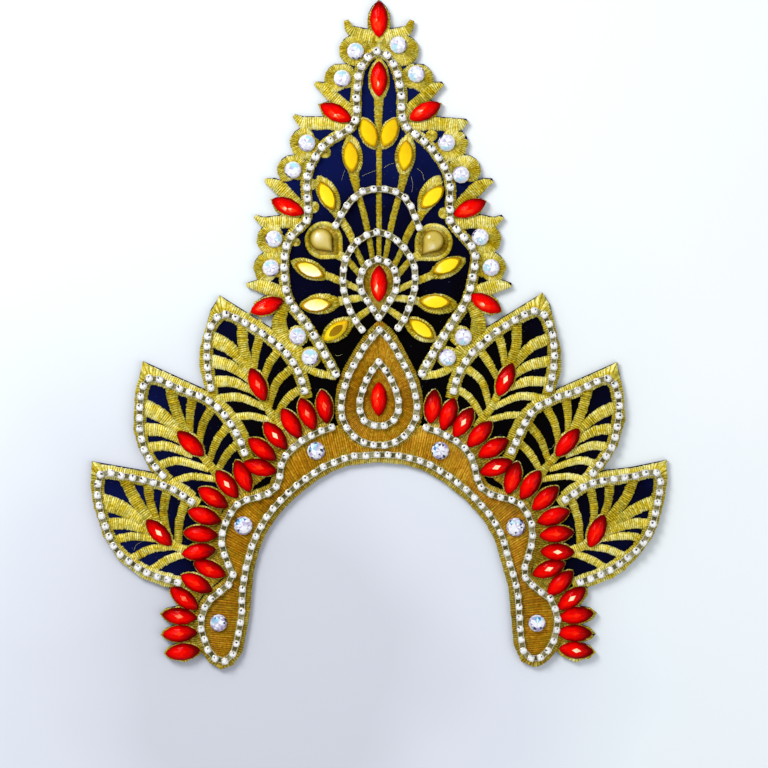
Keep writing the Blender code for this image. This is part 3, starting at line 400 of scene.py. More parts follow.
def on_circle(x, y, radius, angles):
    return np.stack([x + radius * np.cos(angles), y + radius * np.sin(angles)], 1)


def navette(x, y, turn, length, width, sides):
    """A pointed oval, part of the way from two arcs to an ellipse, its points on the long axis."""
    radius = (length**2 + width**2) / (4 * width)
    angles = steps_round(sides)
    u = length / 2 * np.cos(angles)
    v = np.sqrt(radius**2 - u**2) - (radius - width / 2)
    v += (width / 2 * np.abs(np.sin(angles)) - v) * FULLNESS
    v = np.where(np.sin(angles) >= 0, v, -v)
    side, along = sin(radians(turn)), cos(radians(turn))
    return np.stack([x + u * along - v * side, y + u * side + v * along], 1)


def teardrop(x, y, radius, tip_x, tip_y, sides):
    """A circle drawn out to a tip."""
    away = atan2(tip_y - y, tip_x - x)
    half = TIP_SPREAD * radius / hypot(tip_x - x, tip_y - y)
    angles = away + half + (2 * pi - 2 * half) * np.arange(sides) / (sides - 1)
    return np.concatenate([[(tip_x, tip_y)], on_circle(x, y, radius, angles)])


def unit(ways):
    """Directions made one long."""
    return ways / np.maximum(np.hypot(*ways.T), 1e-9)[:, None]


def normals_of(line, closed=False):
    """The direction to the left of a line, or to the inside of an anticlockwise loop, at each point."""
    flat = line[:, :2]
    along = unit(np.roll(flat, -1, 0) - np.roll(flat, 1, 0) if closed else np.gradient(flat, axis=0))
    return np.stack([-along[:, 1], along[:, 0]], 1)


def outward(route, middle):
    """A smooth line along a route, and the directions that lead from it away from a middle."""
    line = smooth(route, PITCH)
    out = normals_of(line)
    return line, out if ((line - middle) * out).sum() >= 0 else -out


def edges_of(rows, pitch=PITCH, grow=0.0):
    """The two edges of a strip along the rows of x, y and width."""
    line = smooth(rows, pitch)
    out = normals_of(line) * (line[:, 2:3] / 2 + grow)
    return line[:, :2] + out, line[:, :2] - out


def strip(route, width):
    """The two edges of a strip of one width along a route."""
    return edges_of([(x, y, width) for x, y in route])


def beside(route, left, right):
    """The two edges of a strip that reaches that far to the left and to the right of a route."""
    line = smooth(route, PITCH)
    out = normals_of(line)
    return line + out * left, line - out * right


def lengthened(rows, before, after):
    """The rows of a route with a further one beyond each end."""
    def beyond(end, inner, by):
        share = by / hypot(end[0] - inner[0], end[1] - inner[1])
        return (end[0] + (end[0] - inner[0]) * share, end[1] + (end[1] - inner[1]) * share, *end[2:])

    return [beyond(rows[0], rows[1], before), *rows, beyond(rows[-1], rows[-2], after)]


def polygon_of(edges):
    """The outline of a strip, from its two edges."""
    return np.concatenate([edges[0], edges[1][::-1]])


def sides_of(polygon):
    return zip(polygon, np.roll(polygon, -1, 0))


def inside(points, polygon):
    """Which of the points lie in the polygon."""
    x, y = points[:, 0], points[:, 1]
    found = np.zeros(len(points), bool)
    for (ax, ay), (bx, by) in sides_of(polygon):
        if ay != by:
            found ^= ((ay > y) != (by > y)) & (x < ax + (y - ay) * (bx - ax) / (by - ay))
    return found


def crossed(a, b):
    return a[..., 0] * b[..., 1] - a[..., 1] * b[..., 0]


def reach(starts, directions, polygon, most):
    """Where rays from the starts first meet the polygon, at most that far away."""
    side = (np.roll(polygon, -1, 0) - polygon)[None]
    gap = polygon[None] - starts[:, None]
    ways = directions[:, None]
    cross = crossed(ways, side)
    cross = np.where(np.abs(cross) < 1e-9, 1e-9, cross)
    far, at = crossed(gap, side) / cross, crossed(gap, ways) / cross
    far = np.where((at >= 0) & (at <= 1) & (far > 0), far, most)
    return starts + directions * np.minimum(far.min(1), most)[:, None]


def distance_to(points, polygon):
    """How far each point is from the polygon's sides."""
    best = np.full(len(points), np.inf)
    for a, b in sides_of(polygon):
        along = b - a
        share = np.clip(((points - a) @ along) / max(along @ along, 1e-9), 0, 1)
        best = np.minimum(best, np.hypot(*(points - a - share[:, None] * along).T))
    return best


def densified(loop, step):
    """The loop with extra points on its long sides."""
    points = []
    for a, b in sides_of(loop):
        count = max(1, ceil(hypot(*(b - a)) / step))
        points += [a + (b - a) * k / count for k in range(count)]
    return np.array(points)


def anticlockwise(loop):
    return loop if crossed(loop, np.roll(loop, -1, 0)).sum() > 0 else loop[::-1]


def shrunk(outline, by=1.6):
    """The outline moved inwards, so that what lies behind it still reaches under its edge."""
    outline = anticlockwise(outline)
    return outline + normals_of(outline, True) * by


# Meshes in the making

PLAIN = (0.5, 0, 0)


def in_scene(name, data):
    """A new object in the scene."""
    made = bpy.data.objects.new(name, data)
    bpy.context.collection.objects.link(made)
    return made


class Heap:
    """Points in millimetres, faces, and a note for each point: its tint, place along and place across."""

    def __init__(self, side=1):
        self.side, self.count = side, 0
        self.points, self.notes, self.faces = [], [], []

    def add(self, points, faces, notes):
        """Adds an array of points with their notes, and faces that number these points."""
        self.points.append(points * (self.side, 1, 1))
        self.notes.append(np.broadcast_to(notes, (len(points), 3)))
        faces = faces.tolist() if isinstance(faces, np.ndarray) else faces
        self.faces += [[k + self.count for k in face[::self.side]] for face in faces]
        self.count += len(points)

    def made(self, name, finish, *replaced):
        """The finished piece. A finish is a material, whether the piece is smooth, and a slot, which is not
        used.
        """
        material, is_smooth, slot = finish
        mesh = bpy.data.meshes.new(name)
        mesh.from_pydata((np.concatenate(self.points) * MM).tolist(), [], self.faces)
        mesh.polygons.foreach_set("use_smooth", [is_smooth] * len(mesh.polygons))
        notes = mesh.attributes.new("note", "FLOAT_COLOR", "POINT")
        colours = np.concatenate([np.concatenate(self.notes), np.ones((self.count, 1))], 1)
        notes.data.foreach_set("color", colours.astype(np.float32).ravel())
        mesh.materials.append(material)
        mesh.update()
        piece = in_scene(name, mesh)
        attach(piece, "root")
        if replaced:
            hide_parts(*replaced)


def grid_faces(rows, columns, closed=False):
    """Four-sided faces over a grid of points. A closed grid joins its last column to its first."""
    row = np.arange(rows - 1)[:, None] * columns
    column = np.arange(columns if closed else columns - 1)[None]
    after = (column + 1) % columns
    quads = [row + column, row + after, row + columns + after, row + columns + column]
    return np.stack([quad.ravel() for quad in quads], 1)


def raised(flat, height):
    """Flat points at a height, or each at its own."""
    return np.column_stack([flat, np.broadcast_to(height, len(flat))])


# The cloth's edge

def boundary_of(name, height):
    """The outline of a CAD node's flat face at a height, in millimetres, as points in order."""
    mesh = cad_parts[name].data
    sides = {}
    for face in mesh.polygons:
        corners = [mesh.vertices[k].co for k in face.vertices]
        if all(abs(z / MM - height) < LEVEL_SPREAD for _, _, z in corners):
            ring = [(round(x / MM, 3), round(y / MM, 3)) for x, y, _ in corners]
            sides.update({(a, b): True for a, b in zip(ring, ring[1:] + ring[:1]) if a != b})
    after = {a: b for a, b in sides if (b, a) not in sides}
    loops = []
    while after:
        start = next(iter(after))
        loop, here = [start], after.pop(start)
        while here != start:
            loop.append(here)
            here = after.pop(here)
        loops.append(np.array(loop))
    return max(loops, key=lambda loop: np.ptp(loop[:, 0]) * np.ptp(loop[:, 1]))


def corners_of(loop):
    """The points where an anticlockwise loop turns sharply towards its inside."""
    before, after = loop - np.roll(loop, 1, 0), np.roll(loop, -1, 0) - loop
    return loop[np.arctan2(crossed(before, after), (before * after).sum(1)) > SHARP]


CLOTH_EDGE = anticlockwise(boundary_of("ground_panel", CLOTH_TOP))
CLOTH_CORNERS = corners_of(CLOTH_EDGE)
PLAQUE_EDGE = smooth(around(PLAQUE), 1.0)[:-1]


# Stitches: place across the strip and share of its height
PROFILE = np.array([(-1, 0.0), (-0.95, 0.55), (-0.78, 0.9), (0, 1.0), (0.78, 0.9), (0.95, 0.55), (1, 0.0)])
# The same where the inner ends run in under a stone, and for wide fields
RIM_PROFILE = np.array([(-1, 0.0), (-0.92, 0.6), (-0.65, 0.92), (0, 1.0), (1, 0.96)])
FIELD_PROFILE = np.array([(-1, 0.5), (-0.8, 0.95), (0, 1.0), (0.8, 0.95), (1, 0.5)])
# Lines along one stitch: place across it and depth below its crown
THREAD = ((-1, 0.24), (-0.55, 0.07), (0, 0.0), (0.55, 0.07), (1, 0.24))
THREAD_SPREAD = 1.04
# How far stitches pull out or in at their ends, and how much they differ in height
LOOSE_END = 0.12
MOST_LOOSE = 0.3
UNEVEN = 0.03
# A stitch as long as this rises to its full height
FULL_STITCH = 5.0
# Painted highlight: the way that a thread lies when it is painted brightest, as if it caught the light most,
# and how much of its tint that decides
PAINTED_SHINE_WAY = np.array((0.08, 0.997))
PAINTED_SHINE_SHARE = 0.6
# How much further out on each side a vein of the left half is stitched
VEIN_GROW = 0.15
# On the right half a vein wider than this keeps only so much of what is over it
WIDE_VEIN = 4.8
WIDE_KEPT = 0.4


def satin(heap, left, right, rise=0.0, high=STITCH_HIGH, profile=PROFILE, trims=()):
    """Stitches between two rails that have as many points each. Narrow stretches rise less than full ones."""
    left, right = drawn_out(heap, left, right), drawn_out(heap, right, left)
    starts, ends = np.stack([left[:-1], right[:-1]], 1), np.stack([left[1:], right[1:]], 1)
    middles = (starts + ends) / 2
    kept = np.ones(len(middles), bool)
    for trim in trims:
        kept &= ~inside(middles.mean(1), trim)
    if not kept.any():
        return
    starts, ends, middles = starts[kept], ends[kept], middles[kept]
    count = len(middles)
    run = middles[:, 1] - middles[:, 0]
    width, along = np.hypot(*run.T), unit(run)
    fullness = width / FULL_STITCH
    rng = np.random.default_rng(chance.randrange(1 << 30))
    bulk = np.clip(fullness, 0.3, 1)[:, None]
    crown = (high + rise - STITCH_LOW) * np.clip(fullness, 0.25, 1) ** 0.5
    crown *= 1 + rng.normal(0, UNEVEN, count)
    pull = rng.normal(0, LOOSE_END, (count, 2)).clip(-MOST_LOOSE, MOST_LOOSE) * bulk
    shares = (profile[:, 0] + 1) / 2
    lines = []
    for place, depth in THREAD:
        line = middles + (ends - starts) / 2 * place * THREAD_SPREAD
        line = line + np.stack([-along * pull[:, :1], along * pull[:, 1:]], 1)
        flat = line[:, None, 0] + (line[:, None, 1] - line[:, None, 0]) * shares[None, :, None]
        height = STITCH_LOW + crown[:, None] * profile[None, :, 1] - depth * bulk
        lines.append(np.concatenate([flat, height[..., None]], 2))
    points = np.stack(lines, 2)
    rows, columns = len(profile), len(THREAD)
    faces = grid_faces(rows, columns)[None] + (np.arange(count) * rows * columns)[:, None, None]
    across_way = points[:, rows // 2, -1] - points[:, rows // 2, 0]
    upside = np.cross(across_way, points[:, -1, 1] - points[:, 0, 1])[:, 2] > 0
    faces = np.where(upside[:, None, None], faces[..., ::-1], faces)
    # Painted highlight: a stitch is tinted brighter the nearer its thread lies to the way that catches the
    # light
    painted_shine = ((along * (heap.side, 1)) @ PAINTED_SHINE_WAY) ** 2
    chanced = 0.5 + (rng.random(count) - 0.5) * np.clip(fullness, 0.2, 1)
    notes = np.zeros((count, rows, columns, 3))
    notes[..., 0] = (PAINTED_SHINE_SHARE * painted_shine + (1 - PAINTED_SHINE_SHARE) * chanced)[:, None, None]
    notes[..., 1] = np.abs(profile[None, :, :1])
    notes[..., 2] = np.linspace(0, 1, columns)
    heap.add(points.reshape(-1, 3), faces.reshape(-1, 4), notes.reshape(-1, 3))


def drawn_out(heap, rail, other):
    """A rail moved just past the cloth's edge wherever that edge is near, and into its sharp corners."""
    out = unit(rail - other)
    starts = rail - out * NEAR_EDGE
    found = reach(starts, out, CLOTH_EDGE * (heap.side, 1), 2 * NEAR_EDGE)
    close = np.hypot(*(found - starts).T) < 2 * NEAR_EDGE - 0.01
    past = PAST_EDGE - UPWARD_LESS * np.clip(out[:, 1:] * 1.5 - 0.3, 0, 1)
    rail = np.where(close[:, None], found + out * past, rail)
    for corner in CLOTH_CORNERS * (heap.side, 1):
        away = np.hypot(*(rail - corner).T)
        k = np.argmin(away)
        if away[k] < NEAR_CORNER:
            rail[k] = corner + out[k] * PAST_EDGE
    return rail


def rimmed(heap, outline, share, middle=None, **more):
    """Stitches from an outline part of the way in to its middle."""
    middle = outline.mean(0) if middle is None else middle
    outline = np.concatenate([outline, outline[:1]])
    more.setdefault("profile", RIM_PROFILE)
    satin(heap, outline, middle + (outline - middle) * share, **more)


def petal(heap, x, y, turn, length, width, **more):
    """A gold petal: stitches from its outline in under its stone."""
    sides = 2 * ceil(1.05 * length / PITCH)
    rimmed(heap, navette(x, y, turn, length, width, sides), 0.3, **more)


def lobe(heap, x, y, radius, gap=None, share=0.15, **more):
    """A round of stitches, narrower towards the gap, if there is one."""
    outline = on_circle(0, 0, radius, steps_round(ceil(2 * pi * radius / PITCH)))
    if gap is not None:
        short = [near(atan2(v, u), radians(gap), LOBE_GAP_REACH) for u, v in outline]
        outline *= 1 - LOBE_GAP * np.sqrt(short)[:, None]
    rimmed(heap, outline + (x, y), share, middle=(x, y), **more)


# Materials

# The middle of the painted shade on the velvet, in metres: darkest here, it is painted bluer and lighter away
# from it
CLOTH_SHADE_MIDDLE = (0.015, -0.06, 0.0)


def shader(name, values):
    """A new material, its node tree and its principled shader, with values on the shader's sockets."""
    made = bpy.data.materials.new(name)
    made.use_nodes = True
    principled = made.node_tree.nodes["Principled BSDF"]
    for socket, value in values.items():
        principled.inputs[socket].default_value = value
    return made, made.node_tree, principled


def added(tree, kind, sockets, **settings):
    """The outputs of a new node with its settings, and its sockets linked or set to a value."""
    made = tree.nodes.new(f"ShaderNode{kind}")
    for setting, value in settings.items():
        setattr(made, setting, value)
    for socket, value in sockets.items():
        if isinstance(value, bpy.types.NodeSocket):
            tree.links.new(value, made.inputs[socket])
        else:
            made.inputs[socket].default_value = value
    return made.outputs


def ramp(tree, fac, stops):
    """A colour ramp over a value. Each row of the stops is a place and its red, green and blue."""
    colour = added(tree, "ValToRGB", {"Fac": fac})["Color"]
    elements = colour.node.color_ramp.elements
    for k, (place, *tone) in enumerate(rows_of(stops)):
        element = elements[k] if k < 2 else elements.new(place)
        element.position = place
        element.color = (*tone, 1)
    return colour


def combined(tree, operation, *values):
    """A value worked out from other values or numbers."""
    return added(tree, "Math", dict(enumerate(values)), operation=operation)["Value"]


def weighed(tree, total, *terms):
    """A number plus each value times its weight."""
    for value, weight in terms:
        total = combined(tree, "MULTIPLY_ADD", value, weight, total)
    return total


def mixed(tree, share, a, b):
    """Colour a, or b where the share is 1."""
    return added(tree, "Mix", {0: share, 6: a, 7: b}, data_type="RGBA")[2]


def own_space(tree):
    return added(tree, "TexCoord", {})["Object"]


def noise(tree, scale, detail=2.0, place=None):
    """A noise value over the object's own space, or over a place that is given."""
    sockets = {"Scale": scale, "Detail": detail, "Vector": place or own_space(tree)}
    return added(tree, "TexNoise", sockets)["Fac"]


def distance_from(tree, place):
    """How far the surface is from a place, in metres."""
    return added(tree, "VectorMath", {0: own_space(tree), 1: place}, operation="DISTANCE")["Value"]


def bumped(tree, principled, height, distance, strength=1.0):
    """Raises the surface by a height value."""
    sockets = {"Height": height, "Distance": distance, "Strength": strength}
    tree.links.new(added(tree, "Bump", sockets)["Normal"], principled.inputs["Normal"])


def notes_of(tree):
    """The tint, the place along and the place across, from the mesh's notes."""
    colour = added(tree, "Attribute", {}, attribute_name="note")["Color"]
    return added(tree, "SeparateColor", {"Color": colour})


def thread_finish(name, slot, cool, warm, shine=0.5, mottle=2.6, warmer=0.0):
    """Shiny thread: stitches lighter and darker, painted shade in the grooves between them, strands, painted
    glints, and ends painted cooler and a little brighter as glints.
    """
    made, tree, principled = shader(name, {"Metallic": 0.12, "Roughness": 0.38, "Specular IOR Level": 0.09})
    tint, along, side = notes_of(tree)
    strands = noise(tree, 1700.0)
    place = added(tree, "CombineXYZ", {"X": weighed(tree, 0.0, (side, 2.6), (tint, 40.0)), "Y": along})
    fibres = noise(tree, 1.0, 1.0, place["Vector"])
    offset = combined(tree, "ABSOLUTE", combined(tree, "SUBTRACT", side, 0.5))
    groove_shade = combined(tree, "POWER", combined(tree, "MULTIPLY", offset, 2.0), 3.0)
    # Brightness: the stitch's tint, strands and fibres, painted glints from the fine noise, random mottling,
    # painted shade in the grooves between stitches and a painted glint at the stitch's ends
    value = weighed(
        tree, -0.75 - shine / 2, (tint, shine), (strands, 0.65), (fibres, 0.95),
        (noise(tree, 750.0, 1.0), 0.7), (noise(tree, 55.0), 0.6), (groove_shade, -0.5),
        (combined(tree, "POWER", along, 8.0), 0.1),
    )
    own = combined(tree, "FRACT", combined(tree, "MULTIPLY", tint, 9.0))
    # Warmth: random mottling and each stitch's own tone, with the ends painted cooler and paler as part of
    # their painted glint
    warmth = weighed(
        tree, 0.35 + warmer - mottle / 2, (noise(tree, 260.0, 1.0), mottle), (own, 0.6),
        (combined(tree, "POWER", along, 2.5), -0.55),
    )
    colour = mixed(tree, warmth, ramp(tree, value, cool), ramp(tree, value, warm))
    tree.links.new(colour, principled.inputs["Base Color"])
    bumped(tree, principled, strands, 0.0001, 0.7)
    return made, True, slot


def velvet_finish():
    """Dark blue velvet with lint, and painted light and shade: nearly black in the middle of the crown, bluer
    and lighter towards its tips.
    """
    made, tree, principled = shader("navy_velvet", {
        "Roughness": 0.95, "Specular IOR Level": 0.05, "Sheen Weight": 0.01, "Sheen Tint": (0.2, 0.3, 0.9, 1),
    })
    pile = noise(tree, 1600.0, 4.0)
    # Painted light and shade: the velvet grows bluer and lighter with distance from the middle of its shade
    away = distance_from(tree, CLOTH_SHADE_MIDDLE)
    value = weighed(tree, -1.7, (pile, 0.5), (noise(tree, 35.0, 3.0), 0.9), (away, 13.0))
    colour = ramp(tree, value, "0 0.0008 0.0003 0.0006, 1 0.003 0.007 0.07, 0.5 0.0012 0.0015 0.016")
    lint = combined(tree, "MULTIPLY", combined(tree, "GREATER_THAN", noise(tree, 900.0, 1.0), 0.765), 0.5)
    pale = ramp(tree, pile, "0 0.02 0.03 0.1, 1 0.12 0.15 0.3")
    tree.links.new(mixed(tree, lint, colour, pale), principled.inputs["Base Color"])
    bumped(tree, principled, pile, 0.0002)
    return made, True, "navy_cloth"


def stone_finish(name, slot, stops, specular=0.12, coat=0.1, is_smooth=False):
    """A cut stone: each facet has a tint of its own behind a clear gloss, a tint that holds painted light,
    shade and glints.
    """
    made, tree, principled = shader(name, {
        "Roughness": 0.1, "Specular IOR Level": specular, "Coat Weight": coat, "Coat Roughness": 0.03,
    })
    tint = notes_of(tree)[0]
    colour = ramp(tree, weighed(tree, -0.04, (tint, 1.0), (noise(tree, 420.0), 0.08)), stops)
    tree.links.new(colour, principled.inputs["Base Color"])
    return made, is_smooth, slot


def metal_finish():
    """Bright plated cups, painted a dark olive where the tint is low, for the gold they reflect and the shade
    low down and between them.
    """
    made, tree, principled = shader("silver_cups", {"Metallic": 0.35, "Roughness": 0.3})
    mottling = noise(tree, 700.0)
    value = weighed(tree, -0.2, (notes_of(tree)[0], 0.8), (mottling, 0.6))
    colour = ramp(tree, value, "0 0.05 0.035 0.006, 1 0.95 0.94 0.9, 0.3 0.27 0.23 0.06, 0.6 0.6 0.57 0.36")
    tree.links.new(colour, principled.inputs["Base Color"])
    bumped(tree, principled, mottling, 0.00005)
    return made, False, "silver_chain"


GOLD = thread_finish(
    "gold_satin", "gold_thread",
    "0 0.09 0.06 0, 1 0.97 0.93 0.48, 0.4 0.35 0.29 0.014, 0.72 0.63 0.55 0.085",
    "0 0.08 0.03 0, 1 0.98 0.86 0.16, 0.4 0.38 0.25 0, 0.72 0.66 0.49 0.006",
)
OLIVE = thread_finish(
    "olive_gold_satin", "gold_thread",
    "0 0.06 0.035 0, 1 0.74 0.66 0.20, 0.4 0.22 0.165 0.006, 0.72 0.40 0.31 0.03",
    "0 0.07 0.022 0, 1 0.74 0.50 0.06, 0.4 0.26 0.14 0, 0.72 0.44 0.26 0.003",
)
AMBER = thread_finish(
    "amber_satin", "amber_thread",
    "0 0.07 0.035 0, 1 0.74 0.60 0.08, 0.4 0.24 0.155 0, 0.72 0.39 0.27 0.005",
    "0 0.08 0.02 0, 1 0.76 0.42 0.03, 0.4 0.29 0.115 0, 0.72 0.46 0.20 0",
    shine=0.25, mottle=1.5, warmer=0.35,
)
VELVET = velvet_finish()
SILVER = metal_finish()
# The brightest tints of the red stones, orange and cream, are painted glints on their tables
RED = stone_finish("red_facets", "red_stone", """
    0 0.05 0 0, 1 1 0.82 0.50, 0.3 0.22 0 0, 0.6 0.78 0 0, 0.8 0.98 0.003 0, 0.93 1 0.06 0.01
""", specular=0.04, coat=0.0)
# The palest tints of the yellow stones are painted reflections
YELLOW = stone_finish("yellow_facets", "yellow_stone", """
    0 0.10 0.04 0, 1 1 0.98 0.72, 0.3 0.34 0.18 0, 0.55 0.82 0.42 0, 0.72 0.95 0.68 0.002,
    0.88 0.98 0.86 0.02
""")
CHAMPAGNE = stone_finish("champagne_dome", "champagne_stone", """
    0 0.07 0.03 0, 1 0.50 0.74 0.40, 0.25 0.34 0.21 0.01, 0.45 0.56 0.42 0.05, 0.6 0.70 0.55 0.13,
    0.82 0.90 0.78 0.48
""", specular=0.25, coat=0.3, is_smooth=True)
PEARL = stone_finish("pearl_facets", "pearl_stone", """
    0 0.015 0.012 0.04, 1 0.97 0.98 1, 0.14 0.06 0.22 0.55, 0.28 0.46 0.84 0.90, 0.42 0.42 0.34 0.60,
    0.6 0.76 0.74 0.86
""", specular=0.3, coat=0.2)
CLEAR = stone_finish("clear_facets", "silver_chain", """
    0 0.008 0.008 0.012, 1 0.98 0.97 0.96, 0.25 0.17 0.16 0.15, 0.5 0.66 0.65 0.64
""", specular=0.3, coat=0.2)


# Cloth

CLOTH_GRID = 1.6
CLOTH_ROUND = 0.7
# How much the cloth dips and swells, how far its points are strewn, and how far its back edge is drawn in
CLOTH_SWELL = 0.12
CLOTH_STREWN = 0.3
CLOTH_DRAWN_IN = 0.35


def make_cloth():
    """The velvet panel: a soft rounded edge, and a top that dips and swells a little."""
    loop = densified(CLOTH_EDGE, CLOTH_GRID)
    steps = [np.arange(low, high, CLOTH_GRID) for low, high in zip(loop.min(0), loop.max(0))]
    spots = np.stack(np.meshgrid(*steps), -1).reshape(-1, 2)
    spots = spots + np.random.default_rng(3).uniform(-CLOTH_STREWN, CLOTH_STREWN, spots.shape)
    spots = spots[inside(spots, loop)]
    spots = spots[distance_to(spots, loop) > CLOTH_GRID * 0.6]
    points = [Vector(point) for point in (*loop, *spots)]
    found = delaunay_2d_cdt(points, [], [list(range(len(loop)))], 0, 1e-5, False)
    flat, faces = np.array(found[0]), np.array(found[2])
    faces = faces[inside(flat[faces].mean(1), loop)]
    edge = np.minimum(distance_to(flat, loop), CLOTH_ROUND) / CLOTH_ROUND
    swell = CLOTH_SWELL * np.sin(flat[:, 0] / 7.3) * np.sin(flat[:, 1] / 9.1)
    top = CLOTH_TOP - CLOTH_SWELL + swell - CLOTH_ROUND * (1 - np.sqrt(1 - (1 - edge) ** 2))
    heap = Heap()
    heap.add(raised(flat, top), faces, PLAIN)
    levels = ((0.0, CLOTH_DRAWN_IN), (0.4, 0.0), (CLOTH_TOP - CLOTH_SWELL - CLOTH_ROUND, 0.0))
    within = normals_of(loop, True)
    rings = [raised(loop + within * by, height) for height, by in levels]
    heap.add(np.concatenate(rings), grid_faces(len(rings), len(loop), closed=True), PLAIN)
    heap.add(raised(flat, 0.0), faces[:, ::-1], PLAIN)
    heap.made("velvet_panel", VELVET, "ground_panel")


# Embroidery

def leaf_outline(leaf, side):
    return smooth(moved(LEAVES[leaf]["outline"], side), CURVE_STEP)[:-1]


def band_outline(side):
    """The space inside the arch chain on one half."""
    route = smooth(moved(ARCH_CHAIN, side), CURVE_STEP)
    return np.concatenate([route, [(0, ARCH_CHAIN[-1][1])]])


def thinner(rows, side):
    """The rows of a vein, less wide on the right half where it is wide."""
    if side < 0:
        return rows
    return [(x, y, min(width, WIDE_VEIN + (width - WIDE_VEIN) * WIDE_KEPT)) for x, y, width in rows]


def make_leaf(leaf, side, trims):
    """One leaf: veins, midrib, frame and the petal under its stone."""
    row = LEAVES[leaf]
    heap = Heap(side)
    for vein in row["veins"]:
        route = lengthened(thinner(moved(vein, side), side), *VEIN_ENDS)
        satin(heap, *edges_of(route, grow=VEIN_GROW if side < 0 else 0), rise=-0.1, trims=trims)
    satin(heap, *edges_of(thinner(moved(row["rib"], side), side)), rise=0.05, trims=trims)
    petal(heap, *row["stone"][side], *LEAF_PETAL, trims=trims)
    outline, route = leaf_outline(leaf, side), moved(row["chain"], side)
    line, out = outward(route, outline.mean(0))
    satin(heap, line - out * FRAME_WIDE, reach(line, out, outline, FRAME_REACH), rise=0.12, trims=trims)
    for end, before in (route[:2], route[:-3:-1]):
        satin(heap, *strip(lengthened([before, end], 0, TAIL)[2:], STRIP_WIDE), rise=0.1, trims=trims)
    name = f"leaf_{leaf}_{SIDES[side]}"
    heap.made(f"{name}_satin", GOLD, name)


def make_border(side, trims):
    """The scalloped border of one half."""
    heap = Heap(side)
    for rows in HOOKS:
        route = lengthened(moved(rows, side), *HOOK_ENDS)
        satin(heap, *edges_of(route, grow=HOOK_GROW), trims=trims)
    for row in SWELLINGS[side]:
        lobe(heap, *row, share=0.03, rise=-0.25, trims=trims)
    for row in moved(LOBES, side):
        lobe(heap, *row, rise=-0.05, trims=trims)
    for row in EDGE_REDS[side]:
        petal(heap, *row, *EDGE_PETAL, trims=trims)
    satin(heap, *beside(moved(EDGE_CHAIN, side), EDGE_OUTER, EDGE_INNER), rise=0.1, trims=trims)
    name = f"border_{SIDES[side]}"
    heap.made(f"{name}_satin", GOLD, name)


def make_row(side, trims):
    """The gold behind the row of red stones on one half."""
    under, petals = Heap(side), Heap(side)
    plaque = PLAQUE_EDGE * (side, 1)
    satin(under, *edges_of(moved(ROW_STRIP, side)), rise=-0.25, high=FIELD_HIGH, trims=[plaque])
    for row in ROW[side]:
        petal(petals, *row, *ROW_PETAL, trims=trims)
    name = f"red_row_{SIDES[side]}"
    under.made(f"{name}_strip", OLIVE, name)
    petals.made(f"{name}_satin", GOLD, name)


def make_fan(trims):
    """The fan: stems, petals, arcs, the drops' beds and the centre."""
    halves, both, beds = {side: Heap(side) for side in SIDES}, Heap(), Heap()
    for side, heap in halves.items():
        cut = trims[side]
        for rows in FAN_STEMS:
            satin(heap, *edges_of(rows, STEM_PITCH), rise=-0.15, trims=cut)
        for row in moved(FAN_PETALS, side):
            petal(heap, *row, trims=cut)
        bed = densified(teardrop(*DROP_BED[side], 60), PITCH)
        middle = np.array(DROP_BED[side][:2])
        ring = np.concatenate([bed, bed[:1]]) - middle
        satin(heap, middle + ring, middle + ring * DROP_INNER, trims=cut)
        darker = Heap(side)
        satin(darker, *(middle + ring * share for share in DROP_DARK), rise=-0.1)
        darker.made(f"drop_bed_{SIDES[side]}", OLIVE, "fan")
    satin(both, *edges_of(MIDDLE_STEM, STEM_PITCH))
    for arc in (OUTER_ARC, MIDDLE_ARC):
        satin(beds, *strip(across(arc), ARC_STRIP_WIDE), trims=[PLAQUE_EDGE])
    rimmed(beds, smooth(around(RING), STEM_PITCH)[:-1], 0.1, rise=-0.3, trims=[PLAQUE_EDGE])
    satin(beds, *strip(around(RING), ARC_STRIP_WIDE), trims=[PLAQUE_EDGE])
    for heap, (*_, y, length, width) in zip((both, beds), MIDDLE_REDS[1:]):
        petal(heap, 0, y, 90, length, width)
    beds.made("fan_ring_satin", OLIVE, "fan")
    for side, heap in halves.items():
        heap.made(f"fan_{SIDES[side]}_satin", GOLD, "fan")
    both.made("fan_middle_satin", GOLD, "fan")


def make_plaque():
    """The plaque: stitches that radiate from its stone in two rounds, and a strip under its outer chain."""
    fill, rim = Heap(), Heap()
    outer, inner = (smooth(around(half), FIELD_PITCH) for half in (PLAQUE, PLAQUE_INNER))
    starts = np.broadcast_to(PLAQUE_MIDDLE, outer.shape)
    met = reach(starts, unit(outer - starts), smooth(around(PLAQUE_INNER), 1.0)[:-1], FIELD_REACH)
    satin(fill, outer, met, high=FIELD_HIGH, profile=FIELD_PROFILE)
    rimmed(fill, inner[:-1], 0.2, high=FIELD_HIGH, profile=FIELD_PROFILE)
    fill.made("plaque_fill", AMBER, "plaque")
    line, out = outward(around(PLAQUE_OUTER), PLAQUE_MIDDLE)
    satin(rim, line - out * RIM_INNER, reach(line, out, PLAQUE_EDGE, RIM_REACH))
    satin(rim, *strip(around(PLAQUE_INNER), INNER_STRIP_WIDE), rise=-0.1)
    rim.made("plaque_rim", OLIVE, "plaque")


def make_band(side, trims):
    """The arch band on one half: fine stitches across it, and a strip under its chain."""
    fill, rim = Heap(side), Heap(side)
    starts, ends = (moved([row[k:k + 2] for row in BAND_RUNGS], side) for k in (0, 2))
    line = smooth([(*start, *end) for start, end in zip(starts, ends)], FIELD_PITCH)
    satin(fill, line[:, :2], line[:, 2:], high=FIELD_HIGH, profile=FIELD_PROFILE, trims=trims)
    satin(rim, *beside(moved(ARCH_CHAIN, side), BAND_INNER, BAND_OUTER), trims=trims)
    fill.made(f"arch_band_fill_{SIDES[side]}", AMBER, "arch_band")
    rim.made(f"arch_band_rim_{SIDES[side]}", OLIVE, "arch_band")


